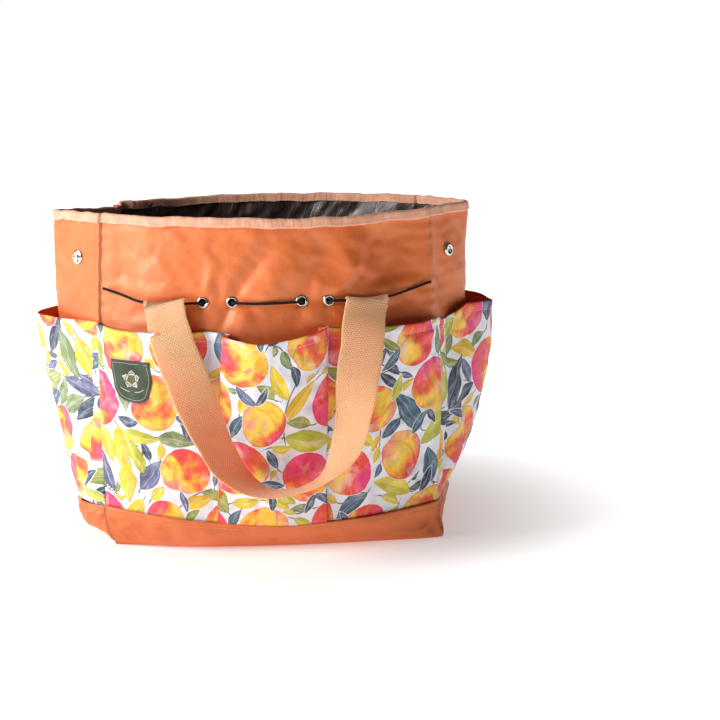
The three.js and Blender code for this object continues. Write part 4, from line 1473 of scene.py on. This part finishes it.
def webbing_ribbon(name, rows):
    """A strap of webbing along rows of centre and width direction. Its centre line and unit width
    directions come back with it."""
    half_across = [0.5, 0.485, 0.46, 0.42, 0.3, 0.15]
    across = np.array([-share for share in half_across] + [0] + half_across[::-1]) * WEBBING_WIDTH
    round_off = np.array([0.1, 0.5, 0.82, 1, 1, 1, 1, 1, 1, 1, 0.82, 0.5, 0.1])
    centre, width = rows[:, :3], unit(rows[:, 3:6])
    tangent = unit(np.gradient(centre, axis=0))
    width = unit(width - (width * tangent).sum(axis=1, keepdims=True) * tangent)
    normal = np.cross(tangent, width)
    along = np.concatenate([[0], np.cumsum(np.linalg.norm(np.diff(centre, axis=0), axis=1))])
    half = WEBBING_THICK / 2 * round_off
    edge = 0.25 * np.sin(along * 0.21)[:, None] * np.sign(across)[None, :] * (np.abs(across) > 16)
    plane = centre[:, None] + width[:, None] * (across[None, :] + edge)[..., None]
    front = plane + normal[:, None] * half[None, :, None]
    back = plane - normal[:, None] * half[None, :, None]
    ring = np.concatenate([front, back[:, ::-1]], axis=1)
    flat_x = np.concatenate([across, across[::-1] + 0.6])
    flat = np.stack(np.broadcast_arrays(flat_x[None, :], along[:, None]), axis=-1)
    count = ring.shape[1]
    faces = grid_faces(len(ring), count, True)[:, ::-1].tolist()
    last = (len(ring) - 1) * count
    faces += [list(range(count)), [last + k for k in range(count)][::-1]]
    flat = np.concatenate([flat, np.zeros(flat.shape[:-1] + (1,))], axis=-1).reshape(-1, 3)
    return add_mesh(name, ring.reshape(-1, 3), faces, [WEBBING], flat=flat), centre, width


def handle_rows(side):
    """Centre and width direction all along one handle, for the front; the back one is turned round."""
    fold_y = FOLD_Y[side]
    wall_y = abs(float(wall(p_at(side, -89.0, FOLD_Z), FOLD_Z)[1]))

    def tab(x, down, slant):
        rows = []
        p = p_at(side, x, 200.0)
        run = wall(p + 0.03, 200.0) - wall(p - 0.03, 200.0)
        turned = float(run[1] / run[0])
        for off, z in TAB_OFF:
            p = p_at(side, x, z)
            rows.append((x, -abs(float(wall(p, z, sway(p, z))[1])) - off, z, down, down * turned, 0))
        for k, (off, z) in enumerate(FOLD_TOP):
            tip = slant * (0.5 + 0.5 * k / 3)
            rows.append((x, -wall_y - off, z, down * math.cos(tip), down * turned, -down * math.sin(tip)))
        return rows

    left = tab(-89.5, -1, -0.17)
    right = tab(89.0, 1, 0.02)[::-1]
    middle = np.array([(x, -fold_y - out, z) for x, out, z, _ in LOOP], float)
    ends = np.vstack([np.array(left[-1][:3]), middle, np.array(right[0][:3])])
    tangent = unit(np.gradient(ends, axis=0))[1:-1]
    turn = np.radians([row[3] for row in LOOP])[:, None]
    flatwise = unit(np.stack([tangent[:, 2], 0 * turn[:, 0], -tangent[:, 0]], axis=1))
    width = flatwise * np.cos(turn) + np.array([0.0, -1.0, 0.0]) * np.sin(turn)
    return np.array(left), np.hstack([middle, width]), np.array(right)


def handle(side):
    name = SIDE_NAMES[side]
    left, middle, right = handle_rows(side)
    whole = np.vstack([left, middle, right])
    fine = catmull_rom(whole, 420)
    top_left = int(np.argmax(fine[:80, 2]))
    top_right = len(fine) - 1 - int(np.argmax(fine[::-1][:80, 2]))
    if side == BACK:
        fine[:, [0, 1, 3, 4]] *= -1
    pieces = [
        (f"{name}_handle_loop_webbing", fine[top_left - 3 : top_right + 4]),
        (f"{name}_handle_end_left", fine[: top_left + 4]),
        (f"{name}_handle_end_right", fine[top_right - 3 :]),
    ]
    face = -1 if side == FRONT else 1
    for i, (piece, rows) in enumerate(pieces):
        strap, centre, width = webbing_ribbon(piece, rows)
        if i == 0:
            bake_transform(strap)
            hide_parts(f"{name}_handle")
        else:
            node = f"{name}_handle_tab_" + ("left" if i == 1 else "right")
            keep(strap, replaces=[node])
            parts = []
            out = np.array([0.0, face, 0.0])
            low = centre[:, 2] < 224
            for share in (-0.4, 0.4):
                line = centre[low] + width[low] * share * WEBBING_WIDTH + out * (WEBBING_THICK / 2 + 0.05)
                parts += stitch_parts(line, np.tile(out, (len(line), 1)))
            for height in (218.0, 196.0):
                k = int(np.argmin(np.abs(centre[:, 2] - height)))
                ends = np.linspace(-0.4, 0.4, 30)[:, None] * WEBBING_WIDTH * width[k][None]
                line = centre[k] + ends + out * (WEBBING_THICK / 2 + 0.05)
                parts += stitch_parts(line, np.tile(out, (len(line), 1)))
            keep(add_parts(f"{piece}_stitching", parts, PEACH_THREAD))


# ---------------------------------------------------------------- elastic cords, eyelets and snaps


def through(x, way):
    """The cord's route past the corner of an eyelet and in through it."""
    steps = [(-7, 4.4), (-3, 4.5), (-1.1, 3.3), (-0.2, 1.6), (0, 0), (0.2, -2.2), (1.4, -4.2), (4, -5.3)]
    return [(x + way * dx, off, CORD_Z) for dx, off in steps]


SEAM_RUN = [(-145.5, 3.2, 239), (-128, 3.4, 234), (-110, 4.6, 230), (-90, 4.8, 228), (-70, 4.6, 228.5)]
CORD_ROUTE = (
    SEAM_RUN + through(EYELET_X[0], 1) + through(EYELET_X[1], -1)[::-1] + [(0, 3.2, 228.4)]
    + through(EYELET_X[2], 1) + through(EYELET_X[3], -1)[::-1]
    + [(-x, off, z) for x, off, z in SEAM_RUN[::-1]]
)


def elastic_cord(side):
    x, off, z = np.array(CORD_ROUTE, float).T
    p = np.clip(p_at(side, x, z), side + 0.012, side + 0.988)
    line = catmull_rom(wall(p, z, off + 0.4 + sway(p, z)), 560)
    line[:, 2] += np.sin(np.linspace(0, 40, len(line))) * 0.12
    name = SIDE_NAMES[side]
    cord = add_parts(f"{name}_elastic", [tube(line, CORD_R, 12)], ELASTIC)
    keep(cord, replaces=[f"{name}_elastic_cord"])


def lathe(profile, segments=40):
    """Points and faces of a closed profile of (radius, height) turned about the height axis."""
    profile = np.array(profile, float)
    turn = np.linspace(0, 2 * math.pi, segments, endpoint=False)
    ring = np.stack(np.broadcast_arrays(
        profile[:, 0:1] * np.cos(turn), profile[:, 0:1] * np.sin(turn), profile[:, 1:2]), axis=-1)
    return ring.reshape(-1, 3), grid_faces(len(profile), segments, True).tolist()


def rounded(profile, passes=2):
    """The profile with its corners cut, Chaikin's way, keeping its ends."""
    p = np.array(profile, float)
    for _ in range(passes):
        q, r = 0.75 * p[:-1] + 0.25 * p[1:], 0.25 * p[:-1] + 0.75 * p[1:]
        p = np.vstack([p[:1], np.stack([q, r], axis=1).reshape(-1, 2)[1:-1], p[-1:]])
    return p


EYELET_PROFILE = [(3.0, -3.4), (3.0, 1.6), (3.1, 2.6), (3.7, 3.2), (4.7, 3.0), (5.6, 2.0), (5.6, 1.35),
                  (3.4, 1.35), (3.4, -3.4), (3.0, -3.4)]
WASHER_PROFILE = [(3.5, -3.3), (4.6, -3.2), (5.4, -2.7), (5.3, -2.2), (3.5, -2.2), (3.5, -3.3)]
STUD_PROFILE = [(0, -2.8), (1.9, -2.8), (1.9, 1.7), (6.4, 1.7), (6.6, 2.1), (5.9, 2.8), (4.4, 3.0),
                (3.6, 2.5), (2.6, 2.6), (2.45, 3.7), (2.6, 4.4), (1.7, 5.0), (0, 5.1)]
SOCKET_PROFILE = [(0, -2.8), (1.9, -2.8), (1.9, 1.7), (6.4, 1.7), (6.6, 2.4), (5.8, 3.6), (4.4, 4.0),
                  (3.2, 3.5), (2.9, 2.6), (2.7, 1.9), (0, 1.9)]
CAP_PROFILE = [(2.2, -2.5), (6.0, -2.5), (6.3, -3.0), (5.3, -4.2), (3.2, -4.9), (1.6, -5.0), (0, -5.0)]


def fitting(name, profile, p, z, node):
    """A turned metal fitting standing on the wall, in place of its CAD node."""
    centre = wall(p, z, sway(p, z))
    along = wall(p + 0.01, z, sway(p + 0.01, z)) - wall(p - 0.01, z, sway(p - 0.01, z))
    up = wall(p, z + 3, sway(p, z + 3)) - wall(p, z - 3, sway(p, z - 3))
    out = unit(np.cross(along, up))
    right = unit(along - (along @ out) * out)
    points, faces = lathe(rounded(profile))
    top = np.cross(out, right)
    points = centre + points[:, 0:1] * right + points[:, 1:2] * top + points[:, 2:3] * out
    flat = np.zeros((len(points), 3))
    keep(add_mesh(name, points, faces, [NICKEL], flat=flat), replaces=[node])


def metal_parts():
    for side in (FRONT, BACK):
        name = SIDE_NAMES[side]
        for i, x in enumerate(EYELET_X, 1):
            p = float(p_at(side, x, CORD_Z))
            fitting(f"{name}_eyelet_{i}_turned", EYELET_PROFILE, p, CORD_Z, f"{name}_eyelet_{i}")
            fitting(f"{name}_washer_{i}_turned", WASHER_PROFILE, p, CORD_Z, f"{name}_eyelet_washer_{i}")
    for name, p, half in (
        ("left_snap_stud_front", 4 - SNAP_SHARE, STUD_PROFILE),
        ("left_snap_socket_back", 3 + SNAP_SHARE, SOCKET_PROFILE),
        ("right_snap_socket_front", 1 + SNAP_SHARE, SOCKET_PROFILE),
        ("right_snap_stud_back", 2 - SNAP_SHARE, STUD_PROFILE),
    ):
        fitting(f"{name}_turned", half, p, SNAP_Z, name)
        cap = name.split("_")[0] + "_snap_cap_" + name.split("_")[3]
        fitting(f"{cap}_turned", CAP_PROFILE, p, SNAP_Z, cap)


# ---------------------------------------------------------------- label

LABEL_A = (28.0, 66.5)
LABEL_B = (113.0, 151.0)


def shield(t):
    """The label's width at height t, as a share: straight above, rounded below."""
    down = np.clip((0.55 - t) / 0.55, 0, 0.9995)
    return (1 - down**2.8) ** (1 / 2.8)


def label_patch(cloth):
    """A small woven label with rounded lower corners and a simple five-petalled flower."""
    s, t = np.meshgrid(np.linspace(0, 1, 40), np.sin(np.linspace(0, 1, 40) * math.pi / 2) ** 1.5)
    s = 0.5 + (s - 0.5) * shield(t)
    a = LABEL_A[0] + s * (LABEL_A[1] - LABEL_A[0])
    b = LABEL_B[0] + t * (LABEL_B[1] - LABEL_B[0])
    points, _ = cloth.at(a, b, 1.1)
    points = points + 0.25 * cloth.at(a, b)[1] * ripples(np.stack([a, b], axis=-1), 14, 7)[..., None]
    patch = add_grid("label_cloth", points, [LABEL], np.stack([a, b], axis=-1))
    thicken(patch, 0.9)
    keep(patch, replaces=["label_patch"])

    middle = np.array([(LABEL_A[0] + LABEL_A[1]) / 2, (LABEL_B[0] + LABEL_B[1]) / 2])
    label_a, label_b = np.linspace(*LABEL_A, 40), np.linspace(*LABEL_B, 40)
    face = Cloth(label_a, label_b, cloth.at(*np.meshgrid(label_a, label_b), 1.15)[0])

    def thread(path, **sizes):
        path = resample(np.column_stack([path, np.zeros(len(path))]), max(12, 3 * len(path)))
        line, normals = face.at(path[:, 0], path[:, 1], 0.06)
        return stitch_parts(line, normals, **sizes)

    size = np.array([LABEL_A[1] - LABEL_A[0], LABEL_B[1] - LABEL_B[0]])
    t = np.sin(np.linspace(0, 1, 60) * math.pi / 2) ** 1.5
    right = np.stack([0.5 * shield(t), t - 0.5], axis=1)
    border = np.vstack([right[::-1], right * [-1, 1], right[-1:]]) * (1 - 5.2 / size) * size + middle
    cream = thread(border, pitch=1.7, length=1.3, width=0.45)
    turn = np.linspace(0, 2 * math.pi, 181)
    middle = middle + [0, 2.0]
    for k in range(5):
        away = 2 * math.pi * k / 5 + math.pi / 2
        ahead, aside = np.array([math.cos(away), math.sin(away)]), np.array([-math.sin(away), math.cos(away)])
        for shift in np.linspace(-0.9, 0.9, 7):
            reach = 9.2 - 2.6 * abs(shift)
            steps = np.linspace(3.4, reach, 9)[:, None]
            swing = np.sin((steps - 2.6) / (reach - 1.6) * math.pi)
            petal = middle + steps * ahead + 3.4 * shift * swing * aside
            cream += thread(petal, pitch=1.9, length=2.1, width=0.62)
    for side in (-1, 1):
        for bow in (0.0, 1.1):
            arc = np.linspace(0, 1, 14)
            spray = np.stack([side * (3 + 9.5 * arc), -11.5 + (3.5 + bow) * arc**2 - bow * arc], axis=1)
            cream += thread(middle + spray, pitch=1.1, length=1.2, width=0.5)
    gold = []
    for radius in (0.8, 1.7, 2.6):
        ring = middle + radius * np.stack([np.cos(turn), np.sin(turn)], axis=1)
        gold += thread(ring, pitch=0.8, length=0.8, width=0.55)
    keep(add_parts("label_flower", cream, CREAM_THREAD))
    keep(add_parts("label_flower_middle", gold, GOLD_THREAD))


# ---------------------------------------------------------------- camera, floor and light

CAMERA_AT = np.array([33.0, -1426.0, 418.0])
CAMERA_PITCH, CAMERA_YAW, CAMERA_ROLL = math.radians(10.46), math.radians(2.13), math.radians(0.93)


def place_camera():
    data = bpy.data.cameras.new("camera")
    data.lens, data.sensor_width = 75.09, 36.0
    data.clip_start, data.clip_end = 0.05, 20
    camera = bpy.data.objects.new("camera", data)
    bpy.context.scene.collection.objects.link(camera)
    level = math.cos(CAMERA_PITCH)
    forward = np.array([math.sin(CAMERA_YAW) * level, math.cos(CAMERA_YAW) * level, -math.sin(CAMERA_PITCH)])
    right = unit(np.cross(forward, [0, 0, 1]))
    up = np.cross(right, forward)
    c, s = math.cos(CAMERA_ROLL), math.sin(CAMERA_ROLL)
    axes = np.column_stack([c * right - s * up, s * right + c * up, -forward])
    pose = np.eye(4)
    pose[:3, :3], pose[:3, 3] = axes, CAMERA_AT * MM
    camera.matrix_world = Matrix(pose.tolist())
    bpy.context.scene.camera = camera


def area_light(name, place, aim, size, power):
    data = bpy.data.lights.new(name, "AREA")
    data.shape, data.size, data.energy = "DISK", size, power
    light = bpy.data.objects.new(name, data)
    bpy.context.scene.collection.objects.link(light)
    back = unit(np.array(place, float) - np.array(aim, float))
    side = unit(np.cross([0, 0, 1], back))
    pose = np.eye(4)
    pose[:3, :3], pose[:3, 3] = np.column_stack([side, np.cross(back, side), back]), place
    light.matrix_world = Matrix(pose.tolist())


def stage_and_light():
    world = bpy.data.worlds.new("studio")
    bpy.context.scene.world = world
    world.use_nodes = True
    tree = world.node_tree
    tree.nodes.clear()
    output = tree.nodes.new("ShaderNodeOutputWorld")
    paths = tree.nodes.new("ShaderNodeLightPath")
    shades = []
    for tint, strength in (((1.0, 0.98, 0.96, 1), 0.055), ((1, 1, 1, 1), 1.0)):
        shade = tree.nodes.new("ShaderNodeBackground")
        shade.inputs["Color"].default_value = tint
        shade.inputs["Strength"].default_value = strength
        shades.append(shade)
    mixer = tree.nodes.new("ShaderNodeMixShader")
    tree.links.new(paths.outputs["Is Camera Ray"], mixer.inputs[0])
    tree.links.new(shades[0].outputs[0], mixer.inputs[1])
    tree.links.new(shades[1].outputs[0], mixer.inputs[2])
    tree.links.new(mixer.outputs[0], output.inputs[0])

    nodes = Nodes("studio_floor", roughness=0.9, specular=0.1)
    place = nodes.tree.nodes.new("ShaderNodeTexCoord").outputs["Object"]
    mottle = nodes.noise(place, 3.0, 2)
    nodes.finish(nodes.mix(mottle, colour("#efeeee"), colour("#f3f2f2")))
    nodes.shader.inputs["Emission Color"].default_value = (1, 1, 1, 1)
    glow = nodes.times(nodes.gradient_from(place, 0.12, 0.5), 0.9)
    nodes.put(nodes.shader.inputs["Emission Strength"], nodes.plus(glow, 0.36))
    size = 30000
    corners = [(-size, -size, -0.4), (size, -size, -0.4), (size, size, -0.4), (-size, size, -0.4)]
    floor = add_mesh("studio_floor", corners, [(0, 1, 2, 3)], [nodes.material])

    area_light("key", (-1.6, -0.6, 0.95), (0, 0, 0.2), 1.0, 38)
    area_light("fill", (0.5, -2.4, 1.2), (0, 0, 0.15), 1.8, 0.2)
    view = bpy.context.scene.view_settings
    view.view_transform = "Standard"
    view.look = "None"


place_camera()
body_shell()
lining_shell()
base_pieces()
base_band()
rim_binding()
front_cloth = pocket_sheet(FRONT, (0.0, 0.0))
pocket_sheet(BACK, (0.0, 205.0))
side_pocket(RIGHT, (430.0, 0.0))
side_pocket(LEFT, (430.0, 205.0))
label_patch(front_cloth)
handle(FRONT)
handle(BACK)
elastic_cord(FRONT)
elastic_cord(BACK)
metal_parts()
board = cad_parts["base_board"]
for slot_place in board.material_slots:
    slot_place.material = board_material()
stage_and_light()
